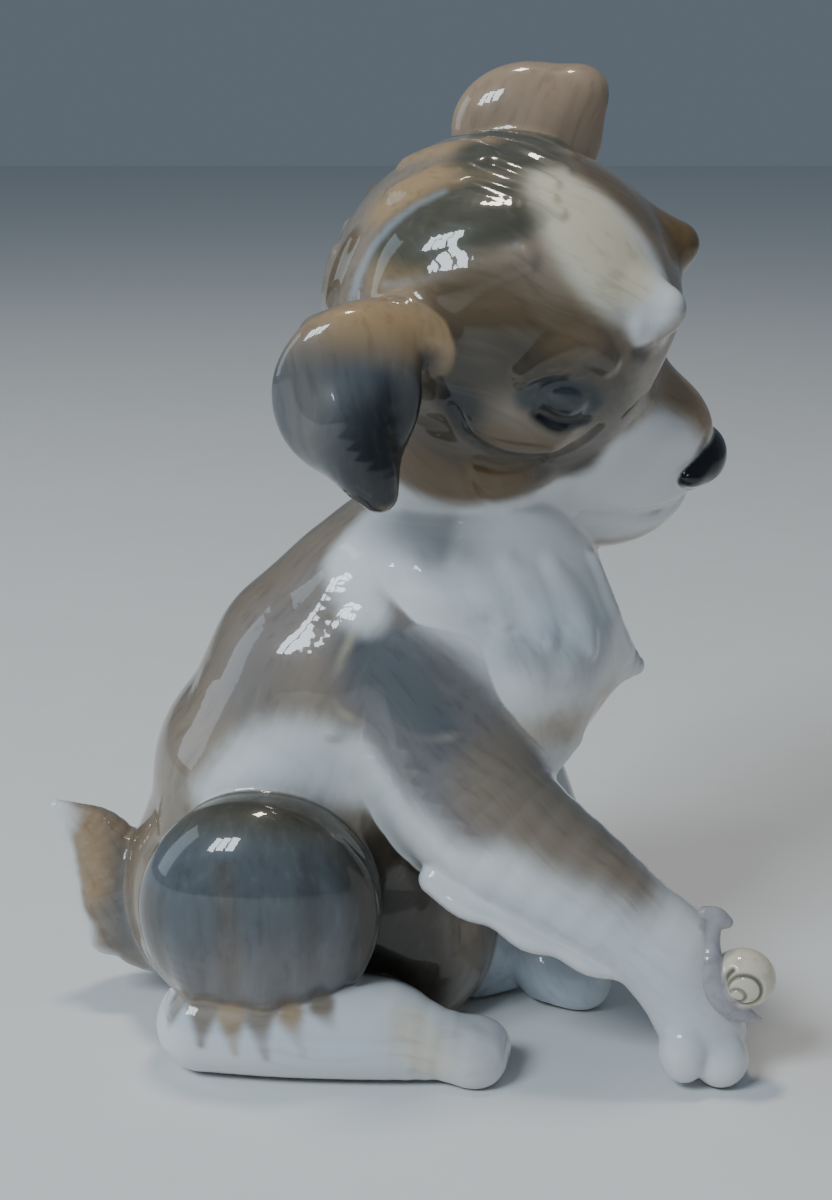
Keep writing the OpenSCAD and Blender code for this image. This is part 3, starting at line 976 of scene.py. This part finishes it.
class Brush:
    """Lays glaze on a surface: soft strokes of colour, or the bare white between them."""

    def __init__(self, surface, look):
        self.surface = surface
        self.look = look

    def wet(self, colour, share, where=slice(None)):
        """Lays a colour over what is there, or wipes it off to the white."""
        surface = self.surface
        if colour == "white":
            surface.cover[where] *= 1 - share
            return
        fresh = np.array(getattr(self.look, colour))
        take = share / np.maximum(share + surface.cover[where] * (1 - share), 1e-6)
        surface.glaze[where] += take[:, None] * (fresh - surface.glaze[where])
        surface.cover[where] += share * (1 - surface.cover[where])

    def fill(self, names, colour):
        """The first coat of whole pieces."""
        for name in names:
            self.wet(colour, self.surface.share[name])

    def lay(self, names, rows, place=SEAT):
        """Strokes: a colour, its strength, its softness, the points and the half widths."""
        share = sum(self.surface.share[name] for name in names)
        where = np.flatnonzero(share > 0)
        points = self.surface.points[where]
        mine = np.minimum(2 * share[where], 1)  # full strength as far as the pieces' edge
        for colour, strength, soft, places, radii in rows:
            line = place.world(places)
            if len(places) == 1:
                line = np.vstack([line, line + 0.01])
                radii = (radii[0], radii[0])
            elif len(places) > 2:
                path = smooth_line(np.column_stack([line, radii]), 3)
                line, radii = path[:, :3], path[:, 3]
            t = np.clip(0.5 - rope_of(line, radii)(points) / (2 * soft), 0, 1)
            self.wet(colour, strength * mine * t * t * (3 - 2 * t), where)


FACE = ("head_casting", "right_brow_tuft", "left_brow_tuft")

# Rows of brush strokes: colour, strength, softness, points and half width at each point.
# HEAD_STROKES and BLAZE are in the head's frame, and the others in the puppy's frame.
HEAD_STROKES = (
    ("white", 1.0, 3.0, [(20, -16, -22), (29, -11, -13), (35, -5, -8)], (7, 11, 12)),
    ("white", 0.9, 3.0, [(2, -20, -31), (12, -20, -30), (24, -10, -30)], (8, 9, 9)),
    ("tan", 0.9, 2.5, [(-23, -7, 14), (-19.3, -6.3, 20.5), (-14, -4.5, 25)], (4, 5, 3.5)),
    ("olive", 1.0, 2.5, [(-6, -11, 26), (-13, -13.5, 21.5), (-19, -16, 14)], (5.5, 7, 6)),
    ("tan", 0.6, 2.5, [(-20, -18.5, 8), (-15, -21, 11)], (3, 3)),
    ("brown", 0.9, 1.2, [(-26, -8.5, 6), (-26, -10, 0.5), (-25, -11.5, -4)], (2.2, 3, 2)),
    (
        "sky",
        0.35,
        1.0,
        [(-17, -9, 21), (-21.5, -12, 14), (-23, -14.5, 7), (-22.5, -17, 1)],
        (0.6, 1, 1.1, 1),
    ),
    ("sky", 0.25, 0.8, [(-19, -20, 9), (-12, -20.5, 15), (-4, -16, 23)], (0.5, 0.5, 0.3)),
    ("brown", 0.95, 4.5, [(-7, -23, 13), (0, -23.5, 14), (8, -22.5, 14)], (7, 7.5, 6)),
    ("brown", 0.7, 3.0, [(9, -20, 18.5), (14, -18.5, 17), (20, -15.5, 15)], (3, 3, 3)),
    ("umber", 0.85, 4.0, [(-3, -26, 7), (3, -25.5, 10), (9, -24, 10)], (6, 5.5, 4)),
    ("umber", 0.9, 3.5, [(-2, -27, 2), (1.5, -27, -2)], (5, 4.5)),
    ("ink", 0.95, 1.8, [(-1.5, -27, 0.5), (2.5, -26.5, -3), (6, -26, -5)], (3, 2.2, 1.4)),
    ("brown", 0.85, 2.5, [(7, -26.5, -3), (14, -24, -3)], (4, 4)),
    ("umber", 0.8, 2.5, [(15, -21.5, 12.5), (20, -18, 8), (21.5, -17.5, 1)], (3.4, 4, 4)),
    ("umber", 0.95, 2.5, [(21, -18, -6), (14, -23, -9), (7, -26, -10)], (4.4, 4.2, 4)),
    ("ochre", 0.85, 3.0, [(13, -24, -12), (3, -27, -14), (-3, -27, -14)], (4, 5.5, 5)),
    ("umber", 0.7, 2.5, [(-4, -27, -8), (2, -27, -9)], (4, 3)),
    (
        "white",
        0.9,
        2.0,
        [(-3, -25, -23), (8, -25.5, -20.5), (14, -24, -18.5), (22, -19, -17)],
        (3.2, 3.4, 4, 5),
    ),
    # Painted shade: thin dark lines along the creases under the eye and across the cheek.
    ("ink", 0.9, 0.7, [(-1.5, -27, -1.6), (2.5, -26.5, -5), (7.5, -25.5, -6.4)], (0.8, 1.1, 0.7)),
    ("ink", 0.8, 0.7, [(7.5, -25.5, -6), (14.5, -22.9, -5.2), (18.5, -20.5, -2.6)], (0.7, 0.8, 0.8)),
    ("ink", 0.6, 0.6, [(6, -26, -9.4), (11, -24.5, -8.8), (15.5, -22.5, -6.8)], (0.5, 0.6, 0.4)),
    ("eye_green", 1.0, 1.2, [(8.5, -24.5, 6.5), (13, -24, 7), (17, -22.5, 7)], (3.2, 4, 3.2)),
    (
        "ink",
        0.95,
        0.8,
        [(8, -25, 6.5), (11, -24.5, 9.8), (15.5, -23, 10), (18.5, -21, 7)],
        (0.7, 1, 1, 0.7),
    ),
    ("ink", 1.0, 0.8, [(10, -24.2, 2.8), (14.5, -23, 2.2), (18, -21, 3.6)], (1, 1.6, 1)),
    ("ink", 0.85, 1.2, [(12.6, -24.5, 5.6)], (2.2,)),
    ("umber", 0.95, 1.0, [(20, -15.8, 15.6), (21.5, -14.6, 14.6)], (1.5, 1.2)),
    # Painted shade along the crease on the jaw.
    ("umber", 0.6, 0.8, [(16, -23, -17.2), (19.5, -21.5, -17.4)], (0.6, 0.7)),
)
BLAZE = (
    ("olive", 1.0, 2.5, [(-14, -1, 26), (-7, 1.5, 28.3)], (5.5, 6)),
    ("white", 1.0, 2.8, [(-1, -6, 28.5), (5, -9, 27), (11, -11, 25.2), (16.5, -11, 23)], (4.5, 7, 8, 7)),
    # Painted warm light: cream over the white of the brow, where the lamp above lights it.
    ("cream", 0.85, 3.5, [(-1, -6, 28.5), (5, -9.5, 27), (11, -12, 25)], (5, 7, 7)),
    ("white", 0.9, 1.2, [(19, -15, 18.6)], (2.2,)),
    ("brown", 0.9, 2.5, [(3, 4, 28.5), (10, 2.5, 27.5), (14, 2, 26)], (4, 3.6, 3)),
    ("ochre", 0.95, 2.0, [(15, 8, 24), (21, 9, 22)], (5, 5)),
    ("ochre", 0.7, 2.0, [(24, 0, 9), (27, -6, 7)], (4, 3.4)),
    ("tan", 0.85, 3.0, [(25, 0, 8), (31, 0, 4.5), (37, 0, 0)], (6, 6, 5)),
    # Painted shade along the mouth's crease.
    (
        "umber",
        0.6,
        1.0,
        [(40, 0, -15), (38.5, -9, -15), (34, -13, -15.8), (28, -15, -17.6)],
        (0.6, 0.5, 0.4, 0.3),
    ),
)
BODY_STROKES = (
    ("mauve", 0.7, 6.0, [(-14, -12, 80), (-22, -15, 70), (-26, -17, 62)], (6, 7, 6)),
    ("brown", 0.55, 6.0, [(-12, -4, 84), (-26, -4, 70), (-38, -4, 52), (-46, -4, 30)], (4, 6, 6, 6)),
    (
        "white",
        1.0,
        5.0,
        [(-32, -20, 46), (-25, -21.5, 51.5), (-17, -21.5, 53), (-9, -20.5, 50)],
        (3, 5, 6, 6),
    ),
    # Painted cool blue light on the white of the flank.
    ("sky", 0.4, 5.0, [(-25, -21.5, 50), (-14, -21.5, 51)], (3, 4)),
    # Painted shade on the belly between the haunch and the foreleg.
    ("umber", 0.95, 4.0, [(-4, -18, 34), (-1, -17, 22), (-1, -17, 8)], (7, 8, 8)),
    ("white", 0.9, 3.0, [(-9.5, -14.5, 84), (-7, -18, 76)], (5, 4)),
    ("white", 1.0, 3.0, [(-6, -14, 90), (8, -16, 91), (24, -12, 90)], (6, 9, 9)),
    ("rose", 0.9, 1.0, [(-7, -14, 92), (-2, -16, 91)], (2.4, 2)),
    (
        "cream",
        0.4,
        0.8,
        [(-9, -20, 73), (-11, -20.5, 68), (-12.5, -21, 64), (-10.5, -22, 60), (-5, -24, 57)],
        (0.5, 0.7, 0.5, 0.6, 0.4),
    ),
)
ARM_STROKES = (
    ("mauve", 1.0, 5.0, [(-5, -21, 69), (3, -23.5, 63), (11, -26, 56), (19, -27, 50)], (8, 9, 9, 7)),
    ("mauve", 0.9, 4.0, [(-5, -22, 62), (1, -25, 54), (10, -28, 46)], (5.5, 6.5, 6)),
    ("taupe", 0.95, 5.0, [(16, -28, 50), (26, -30, 43), (35, -31, 35)], (9, 8, 5)),
    ("slate", 0.8, 4.0, [(-6, -20.5, 70), (-1, -23, 65), (4, -25, 59)], (5, 6, 4)),
    ("white", 0.85, 3.5, [(-8, -22, 49), (-3, -25.5, 42), (4, -28.5, 36)], (4, 3.5, 3)),
    # Painted cool blue shade along the underside of the forearm, down to the paw.
    ("sky", 0.5, 5.0, [(14, -31, 32), (28, -33, 28), (42, -33, 18), (46, -34, 8)], (4, 5, 5, 4)),
    ("cream", 0.25, 0.9, [(-4, -22, 60), (2, -25, 57), (8, -26.5, 58)], (0.5, 0.7, 0.4)),
)
RUFF_STROKES = (
    # Painted cool blue shade on the ruff under the jaw.
    ("sky", 0.45, 6.0, [(10, -20, 79), (18, -20, 75), (27, -14, 71)], (5, 7, 7)),
    # Painted shade on the middle of the ruff, where it faces down.
    ("mauve", 0.45, 4.0, [(18, -20, 70), (24, -17, 66), (30, -10, 68)], (4, 5, 4)),
    # A cream line along the ruff's back edge, partly painted light where the edge faces the window
    # panes.
    (
        "cream",
        0.6,
        1.6,
        [(-12, -17, 84), (-11, -19, 78), (-5, -22, 73.5), (5, -23, 70), (11, -22, 64)],
        (2, 2, 0.8, 0.8, 0.8),
    ),
    ("tan", 0.55, 3.5, [(18, -19, 57), (26, -16, 56), (33, -8, 59)], (3.5, 4.5, 3.5)),
    # Painted shade in the crease near the ruff's point.
    ("umber", 0.6, 0.6, [(32.5, -5.5, 57.5), (30, -8.5, 54)], (0.4, 0.6)),
)
HAUNCH_STROKES = (
    ("slate", 0.9, 5.0, [(-36, -30, 34), (-24, -36, 36), (-12, -33, 34)], (7, 9, 7)),
    ("olive", 0.9, 3.5, [(-38, -22, 42), (-25, -28, 47), (-10, -26, 42)], (5, 5.5, 5)),
    ("umber", 0.6, 2.5, [(-30, -26, 46), (-20, -28, 47), (-13, -26, 44)], (2.5, 3, 2.5)),
    # Dark umber down the roll at the haunch's front, partly painted shade on the side that faces the
    # belly.
    ("umber", 0.95, 3.0, [(-8, -32, 40), (-5, -30, 30), (-7, -30, 18)], (4, 4.6, 4)),
    ("mauve", 0.75, 5.0, [(-34, -32, 20), (-24, -35, 20), (-15, -34, 20)], (5, 7, 5)),
    ("brown", 0.6, 3.0, [(-40, -28, 30), (-40, -28, 20)], (3, 3)),
    ("brown", 0.4, 1.6, [(-29, -34, 38), (-28, -36, 26), (-29, -34, 14)], (1.6, 2, 1.2)),
    ("umber", 0.4, 1.4, [(-16, -34, 40), (-15, -36, 28), (-17, -35, 14)], (1.4, 1.8, 1)),
    (
        "taupe",
        0.7,
        2.5,
        [(-38, -31, 14), (-28, -35, 12), (-16, -35, 12), (-9, -33, 14)],
        (3, 3.4, 3.4, 2.4),
    ),
    ("cream", 0.5, 0.7, [(-42, -26, 38), (-43, -25, 30), (-42, -27, 20)], (0.6, 0.8, 0.6)),
)
FOOT_STROKES = (
    # Painted cool blue light along the foot's outer side.
    ("sky", 0.5, 5.0, [(-36, -32, 12), (-20, -36, 9), (-4, -36, 8)], (3, 5, 4)),
    # Painted warm light on the top of the foot before the toes.
    ("cream", 0.6, 3.0, [(0, -33, 11), (3, -35, 6)], (4, 4)),
    ("mauve", 0.4, 2.5, [(9, -32, 10), (11, -34, 5)], (4, 3.5)),
    # Painted shade on the foot's inner side, under the body.
    ("umber", 0.85, 3.0, [(-6, -20, 16), (2, -20, 12), (8, -18, 6)], (4, 4, 4)),
)
# Painted shade on the far paw and toes under the foreleg: bluish, and darker low down near the floor.
FAR_PAINTED_SHADE = (
    ("sky", 0.6, 4.0, [(8, 4, 8), (16, 0, 6), (27, -5, 6)], (6, 7, 7)),
    ("slate", 0.45, 3.0, [(5, -4, 9), (12, -5, 4), (22, -4, 3)], (4, 4, 3)),
)
EAR_STROKES = (
    ("tan", 1.0, 4.0, [(-15, -27, 121), (-7, -30, 124), (1, -27, 121.5), (8, -23, 118)], (4, 5, 5, 4.5)),
    ("taupe", 0.5, 4.0, [(-15, -29, 116), (-13, -31, 108)], (4, 4)),
    ("ink", 0.95, 5.0, [(-1, -33, 110), (-5, -34, 104), (-5, -34, 97)], (5, 7, 6)),
    # Dark ink along the flap's front edge, partly painted shade where the flap lies against the head.
    ("ink", 0.95, 1.8, [(2.5, -27, 117), (2, -28, 108), (-1, -31, 100)], (2, 2.5, 2)),
    # Painted shade at the root of the flap, next to the head.
    ("brown", 0.7, 2.0, [(6, -24, 117), (6, -22, 113)], (3, 3)),
    ("tan", 0.6, 0.4, [(-7, -34, 96.2), (-5, -34.5, 95.6), (-2.6, -33.5, 96.4)], (0.3, 0.4, 0.3)),
)
LEFT_EAR_STROKES = (
    ("ink", 0.95, 1.5, [(33, 15, 154), (33.5, 16, 149), (32, 16, 145)], (2, 2.6, 2)),
    ("brown", 0.5, 1.5, [(9, 13, 147), (18, 9, 142.5), (28, 9, 144)], (1.5, 1.5, 1.5)),
)
TAIL_STROKES = (
    ("tan", 0.7, 3.0, [(-56, -2, 32), (-54, -4, 24)], (3, 4)),
    ("slate", 0.7, 3.0, [(-48, -5, 32), (-49, -6, 22), (-48, -6, 14)], (2.6, 3.4, 3.4)),
    ("white", 0.95, 2.0, [(-63, 0, 37), (-58.5, 0, 33.5)], (2.5, 2)),
    ("white", 0.8, 1.2, [(-60, 0, 31), (-58, -1, 25), (-57, -2, 18), (-53, -3, 11)], (2, 2, 2.4, 3)),
)
HAIR_TIPS = (
    ("taupe", 0.9, 1.0, [(-38, -30, 15), (-39.5, -32, 10)], (2.4, 0.5)),
    ("taupe", 0.9, 1.0, [(-33, -31, 13), (-33.5, -33.5, 8)], (2.8, 0.5)),
    ("tan", 0.8, 1.0, [(-28.5, -32, 12), (-28, -34, 7)], (2.6, 0.5)),
    ("taupe", 0.9, 1.0, [(-24, -32, 12), (-23, -34.5, 6.5)], (2.8, 0.5)),
    ("tan", 0.8, 1.0, [(-19, -32, 12), (-17, -34.5, 7.5)], (2.6, 0.5)),
    ("taupe", 0.9, 1.0, [(-14, -31, 13), (-11, -34, 9)], (2.6, 0.5)),
)
NOSE_STROKES = (
    ("black", 1.0, 0.6, [(50.5, -3, 101.5), (49, -4.5, 97), (45.8, -4.6, 93.4)], (2, 3, 2.1)),
)


def flip(rows):
    """The same strokes on the left side."""
    return [(*row[:3], [(x, -y, z) for x, y, z in row[3]], row[4]) for row in rows]


def paint(surface, look):
    """The colours of the glaze over the whole puppy."""
    brush = Brush(surface, look)
    brush.fill(FACE + ("body_casting",), "taupe")
    brush.fill(("right_ear", "right_haunch", "left_haunch"), "slate")
    brush.fill(("left_ear",), "rose")
    brush.fill(("tail",), "taupe")
    for rows in (HEAD_STROKES, flip(HEAD_STROKES), BLAZE):
        brush.lay(FACE, rows, HEAD)
    arms = ("right_foreleg", "left_foreleg", "body_casting")
    haunches = ("right_haunch", "left_haunch")
    feet = ("right_hind_foot", "left_hind_foot")
    for turn in (list, flip):
        brush.lay(arms, turn(ARM_STROKES))
        brush.lay(("body_casting",), turn(BODY_STROKES))
        brush.lay(("chest_ruff",), turn(RUFF_STROKES))
        brush.lay(haunches, turn(HAUNCH_STROKES))
    brush.lay(feet, FOOT_STROKES)
    brush.lay(("left_hind_foot", "left_foreleg"), FAR_PAINTED_SHADE)
    for rows in (HAIR_TIPS, flip(HAIR_TIPS)):
        brush.lay(haunches + feet, rows)
    brush.lay(("right_ear",), EAR_STROKES)
    brush.lay(("left_ear",), LEFT_EAR_STROKES)
    brush.lay(("tail",), TAIL_STROKES)
    brush.fill(("nose_pad",), "black")
    brush.lay(FACE + ("nose_pad",), NOSE_STROKES)
    comb_out(surface)


# The way the brush strokes and the hair run on each piece.
LIE = {
    "body_casting": (-0.45, 0, -0.9),
    "chest_ruff": (0.35, 0, -0.94),
    "right_foreleg": (0.72, -0.2, -0.66),
    "left_foreleg": (0.5, -0.2, -0.84),
    "foreleg_fringe": (0.85, 0, -0.5),
    "right_hind_foot": (1, 0, 0),
    "left_hind_foot": (0.9, -0.4, 0),
    "tail": (-0.5, 0, 0.86),
    "right_ear": (0.15, 0, -0.99),
    "left_ear": (0.3, 0, 0.95),
}
HAIR_WIDE = 1.5  # how wide a brush hair's mark is, in millimetres
HAIR_LONG = 14.0  # and how long
SWAY = 0.6  # how far the marks sway, and how fast along the surface
SWAY_RATE = 0.35


def comb_out(surface):
    """Places for the hair noise: squeezed along the way that the hair lies."""
    points = surface.points
    lie = np.tile((0.0, 0.0, -1.0), (len(points), 1))
    for name, way in LIE.items():
        lie[surface.point_owner == surface.names.index(name)] = way
    lie /= np.linalg.norm(lie, axis=1)[:, None]
    reach = (points * lie).sum(1)[:, None]
    comb = (points - reach * lie) / HAIR_WIDE + reach * lie / HAIR_LONG
    face = np.isin(surface.point_owner, [surface.names.index(name) for name in FACE])
    comb[face] = HEAD.local(points[face]) / (HAIR_LONG, HAIR_WIDE, HAIR_WIDE)
    surface.comb = comb + SWAY * np.sin(points[:, [1, 2, 0]] * SWAY_RATE)


# ---------------------------------------------------------------- settings


def colour_setting(name, description, colour):
    """A colour that a user can change, given as 0 to 255 for each light."""
    return FloatVectorProperty(
        name=name,
        description=description,
        subtype="COLOR",
        default=srgb(*colour),
        min=0,
        max=1,
    )


def share_setting(name, description, value, most=1.0):
    """A share from 0 up that a user can change."""
    return FloatProperty(
        name=name,
        description=description,
        subtype="FACTOR",
        default=value,
        min=0,
        max=most,
    )


class PuppyLook(PropertyGroup):
    """The colours of the glaze, and how it takes the light."""

    white: colour_setting("White", "Porcelain under clear glaze", (228, 229, 228))
    shadow_white: colour_setting("Thick white", "Where the clear glaze pools", (212, 216, 220))
    # Cream, and painted warm light on the lit brow and toes and along the ruff's edge.
    cream: colour_setting("Cream", "Warm white on the brow and the toes", (220, 208, 180))
    taupe: colour_setting("Taupe", "Back, crown and flanks", (140, 127, 112))
    tan: colour_setting("Tan", "Ear tops and tail", (168, 140, 104))
    rose: colour_setting("Rose taupe", "The ear that stands up", (160, 138, 116))
    ochre: colour_setting("Ochre", "Round the eyes and the cheeks", (104, 82, 50))
    olive: colour_setting("Olive", "Locks of the crown", (82, 80, 68))
    brown: colour_setting("Brown", "Round the eyes", (100, 83, 61))
    # Umber, and painted shade in the creases, on the belly between the legs, on the haunch's front and
    # under the body.
    umber: colour_setting("Umber", "Creases and the deep places", (54, 48, 39))
    slate: colour_setting("Slate", "Ear flap, shoulder and haunch", (86, 92, 97))
    mauve: colour_setting("Mauve", "Soft grey of the arm and haunch", (122, 118, 118))
    # A blue-grey wash, and painted cool light and shade on the whites.
    sky: colour_setting("Sky", "The blue tinge of the white", (190, 205, 220))
    bisque: colour_setting("Bisque", "The bare underside", (206, 200, 188))
    eye_green: colour_setting("Eye green", "The eyes", (52, 62, 66))
    lilac: colour_setting("Lilac", "The snail", (150, 142, 152))
    ink: colour_setting("Ink", "Eyes and the ear's tip", (28, 31, 34))
    black: colour_setting("Black", "Nose", (20, 21, 26))
    shade: colour_setting("Stroke shade", "What dark strokes multiply by", (186, 182, 180))
    strokes: share_setting("Strokes", "How strongly the brush strokes show", 0.3)
    ragged: share_setting("Ragged edges", "How far strokes break the edge of a colour", 0.8, 6.0)
    haze: share_setting("Haze", "Roughness of the clear coat", 0.03, 0.3)


class StudioSizes(PropertyGroup):
    """Where the camera stands and what the floor is like."""

    camera_away: FloatProperty(
        name="Camera distance",
        description="From the puppy's middle to the camera",
        default=0.325,
        unit="LENGTH",
    )
    camera_up: FloatProperty(
        name="Camera height",
        description="Above the floor",
        default=0.160,
        unit="LENGTH",
    )
    camera_dip: FloatProperty(
        name="Camera dip",
        description="How far the camera looks down",
        default=math.radians(15),
        subtype="ANGLE",
    )
    lens: FloatProperty(
        name="Lens",
        description="Focal length in millimetres",
        default=60.0,
        min=10,
        max=200,
    )
    floor_side: FloatProperty(
        name="Floor side",
        description="Side of the floor",
        default=6.0,
        unit="LENGTH",
    )


# ---------------------------------------------------------------- operators


shared = {}


def figure():
    """The puppy's surface, cast and painted once and shared by every piece."""
    if "figure" not in shared:
        look = bpy.context.scene.puppy_look
        surface = Surface(figure_clay(), BLENDS, STEP)
        paint(surface, look)
        shared["figure"] = surface
        shared["material"] = glaze_material("painted_porcelain", look)
    return shared["figure"]


def snail():
    """The snail's surface, cast finer than the puppy's."""
    if "snail" not in shared:
        figure()
        lumps = {"snail_body": snail_clay(), "snail_shell": shell_clay()}
        surface = Surface(lumps, SNAIL_BLENDS, SNAIL_STEP)
        brush = Brush(surface, bpy.context.scene.puppy_look)
        brush.fill(("snail_body",), "lilac")
        brush.fill(("snail_shell",), "cream")
        surface.cover *= 0.7
        groove = np.clip(-shell_mound()(surface.points) / GROOVE_DEPTH - 0.2, 0, 1)
        brush.wet("olive", 0.95 * groove * surface.share["snail_shell"])
        surface.comb = surface.points / 2
        shared["snail"] = surface
    return shared["snail"]


class PieceMaker:
    """What every operator that makes pieces of the puppy does."""

    bl_options = {"REGISTER", "UNDO"}
    rows = ()
    source = staticmethod(figure)

    def execute(self, context):
        surface = self.source()
        for name, label, slot in self.rows:
            make_piece(surface, name, label, shared["material"])
        return {"FINISHED"}


class PUPPY_OT_body(PieceMaker, Operator):
    """Make the body and the ruff on its chest"""

    bl_idname = "puppy.body"
    bl_label = "Body and ruff"
    rows = (
        ("glazed_body", "body_casting", "taupe_glaze"),
        ("glazed_ruff", "chest_ruff", "white_glaze"),
    )


class PUPPY_OT_legs(PieceMaker, Operator):
    """Make the forelegs with the fringe, the haunches and the hind feet"""

    bl_idname = "puppy.legs"
    bl_label = "Legs"
    rows = (
        ("glazed_right_foreleg", "right_foreleg", "white_glaze"),
        ("glazed_fringe", "foreleg_fringe", "white_glaze"),
        ("glazed_left_foreleg", "left_foreleg", "white_glaze"),
        ("glazed_right_haunch", "right_haunch", "slate_glaze"),
        ("glazed_left_haunch", "left_haunch", "slate_glaze"),
        ("glazed_right_hind_foot", "right_hind_foot", "white_glaze"),
        ("glazed_left_hind_foot", "left_hind_foot", "white_glaze"),
    )


class PUPPY_OT_tail(PieceMaker, Operator):
    """Make the tail"""

    bl_idname = "puppy.tail"
    bl_label = "Tail"
    rows = (("glazed_tail", "tail", "taupe_glaze"),)


class PUPPY_OT_head(PieceMaker, Operator):
    """Make the head with its ears, nose and brow tufts"""

    bl_idname = "puppy.head"
    bl_label = "Head"
    rows = (
        ("glazed_head", "head_casting", "head_glaze"),
        ("glazed_right_ear", "right_ear", "slate_glaze"),
        ("glazed_left_ear", "left_ear", "taupe_glaze"),
        ("glazed_nose", "nose_pad", "black_glaze"),
        ("glazed_right_tuft", "right_brow_tuft", "white_glaze"),
        ("glazed_left_tuft", "left_brow_tuft", "white_glaze"),
    )


class PUPPY_OT_snail(PieceMaker, Operator):
    """Make the snail and its shell"""

    bl_idname = "puppy.snail"
    bl_label = "Snail"
    source = staticmethod(snail)
    rows = (
        ("glazed_snail", "snail_body", "snail_glaze"),
        ("glazed_shell", "snail_shell", "shell_glaze"),
    )


class PUPPY_OT_studio(Operator):
    """Make the floor, the lights and the camera"""

    bl_idname = "puppy.studio"
    bl_label = "Studio"
    bl_options = {"REGISTER", "UNDO"}

    def execute(self, context):
        sizes = context.scene.puppy_studio
        make_floor(sizes.floor_side)
        make_lights()
        make_camera(sizes)
        return {"FINISHED"}


FLOOR_COLOURS = ((0.8, 0.8, 0.79, 1), (0.84, 0.84, 0.83, 1))
AIR_COLOUR = (0.66, 0.82, 1.0, 1)
AIR_STRENGTH = 0.17
LAMP_AIM = (0, 0, 0.09)
WINDOW_PANES = 3
SENSOR_WIDE = 36  # in millimetres
CAMERA_SIDE = 0.001  # how far the camera stands to the side of the seat's middle


def make_floor(side):
    """A plain pale sheet of paper."""
    mesh = bpy.data.meshes.new("floor")
    half = side / 2
    corners = [(-half, -half, 0), (half, -half, 0), (half, half, 0), (-half, half, 0)]
    mesh.from_pydata(corners, [], [(0, 1, 2, 3)])
    floor = bpy.data.objects.new("floor", mesh)
    bpy.context.scene.collection.objects.link(floor)
    net = Net("floor_paper")
    where = net.node("ShaderNodeTexCoord", out=3)
    tooth = net.noise(where, 60.0, 4.0)
    colour = net.mix(tooth, *FLOOR_COLOURS)
    shader = net.node("ShaderNodeBsdfPrincipled", {}, {"Base Color": colour, "Roughness": 0.85})
    net.node("ShaderNodeOutputMaterial", {}, [shader])
    mesh.materials.append(net.material)


def softbox(name, place, size, power, tint):
    """A flat lamp that looks at the puppy."""
    lamp = bpy.data.lights.new(name, "AREA")
    lamp.shape = "RECTANGLE"
    lamp.size, lamp.size_y = size
    lamp.energy = power
    lamp.color = tint
    stand = bpy.data.objects.new(name, lamp)
    stand.location = place
    away = np.array(LAMP_AIM, float) - np.array(place, float)
    flat = math.hypot(away[0], away[1])
    stand.rotation_euler = (math.atan2(flat, -away[2]), 0, math.atan2(-away[0], away[1]))
    bpy.context.scene.collection.objects.link(stand)


def make_lights():
    """Three panes like a window's on the left, a warm lamp above and a dim one behind."""
    world = bpy.data.worlds.new("studio_air")
    world.use_nodes = True
    air = world.node_tree.nodes["Background"]
    air.inputs[0].default_value = AIR_COLOUR
    air.inputs[1].default_value = AIR_STRENGTH
    bpy.context.scene.world = world
    for i in range(WINDOW_PANES):
        place = (-0.72 + 0.15 * i, -0.62 - 0.05 * i, 0.82)
        softbox(f"window_pane_{i + 1}", place, (0.125, 0.3), 2.7, (0.78, 0.9, 1))
    softbox("top_box", (-0.05, 0.05, 1.1), (0.16, 0.12), 3.4, (1, 0.9, 0.76))
    softbox("left_box", (-1.1, 0.1, 0.5), (0.5, 0.8), 2.6, (0.7, 0.86, 1))


def make_camera(sizes):
    """The camera, which stands on the near side and looks straight across."""
    camera = bpy.data.cameras.new("camera")
    camera.lens = sizes.lens
    camera.sensor_width = SENSOR_WIDE
    stand = bpy.data.objects.new("camera", camera)
    stand.location = (CAMERA_SIDE, -sizes.camera_away, sizes.camera_up)
    stand.rotation_euler = (math.radians(90) - sizes.camera_dip, 0, 0)
    bpy.context.scene.collection.objects.link(stand)
    bpy.context.scene.camera = stand


class PUPPY_PT_sidebar(Panel):
    """Every step of the puppy, in the order they are made"""

    bl_label = "Porcelain puppy"
    bl_idname = "PUPPY_PT_sidebar"
    bl_space_type = "VIEW_3D"
    bl_region_type = "UI"
    bl_category = "Puppy"

    def draw(self, context):
        for name in PuppyLook.__annotations__:
            self.layout.prop(context.scene.puppy_look, name)
        for name in StudioSizes.__annotations__:
            self.layout.prop(context.scene.puppy_studio, name)
        for maker in MAKERS:
            self.layout.operator(maker.bl_idname)


MAKERS = (
    PUPPY_OT_body,
    PUPPY_OT_legs,
    PUPPY_OT_tail,
    PUPPY_OT_head,
    PUPPY_OT_snail,
    PUPPY_OT_studio,
)
CLASSES = (PuppyLook, StudioSizes) + MAKERS + (PUPPY_PT_sidebar,)


def register():
    for made in CLASSES:
        bpy.utils.register_class(made)
    bpy.types.Scene.puppy_look = PointerProperty(type=PuppyLook)
    bpy.types.Scene.puppy_studio = PointerProperty(type=StudioSizes)


def unregister():
    del bpy.types.Scene.puppy_studio
    del bpy.types.Scene.puppy_look
    for made in reversed(CLASSES):
        bpy.utils.unregister_class(made)


def main():
    """Builds the puppy and its studio."""
    register()
    for maker in MAKERS:
        group, name = maker.bl_idname.split(".")
        getattr(getattr(bpy.ops, group), name)()


if __name__ == "__main__":
    main()
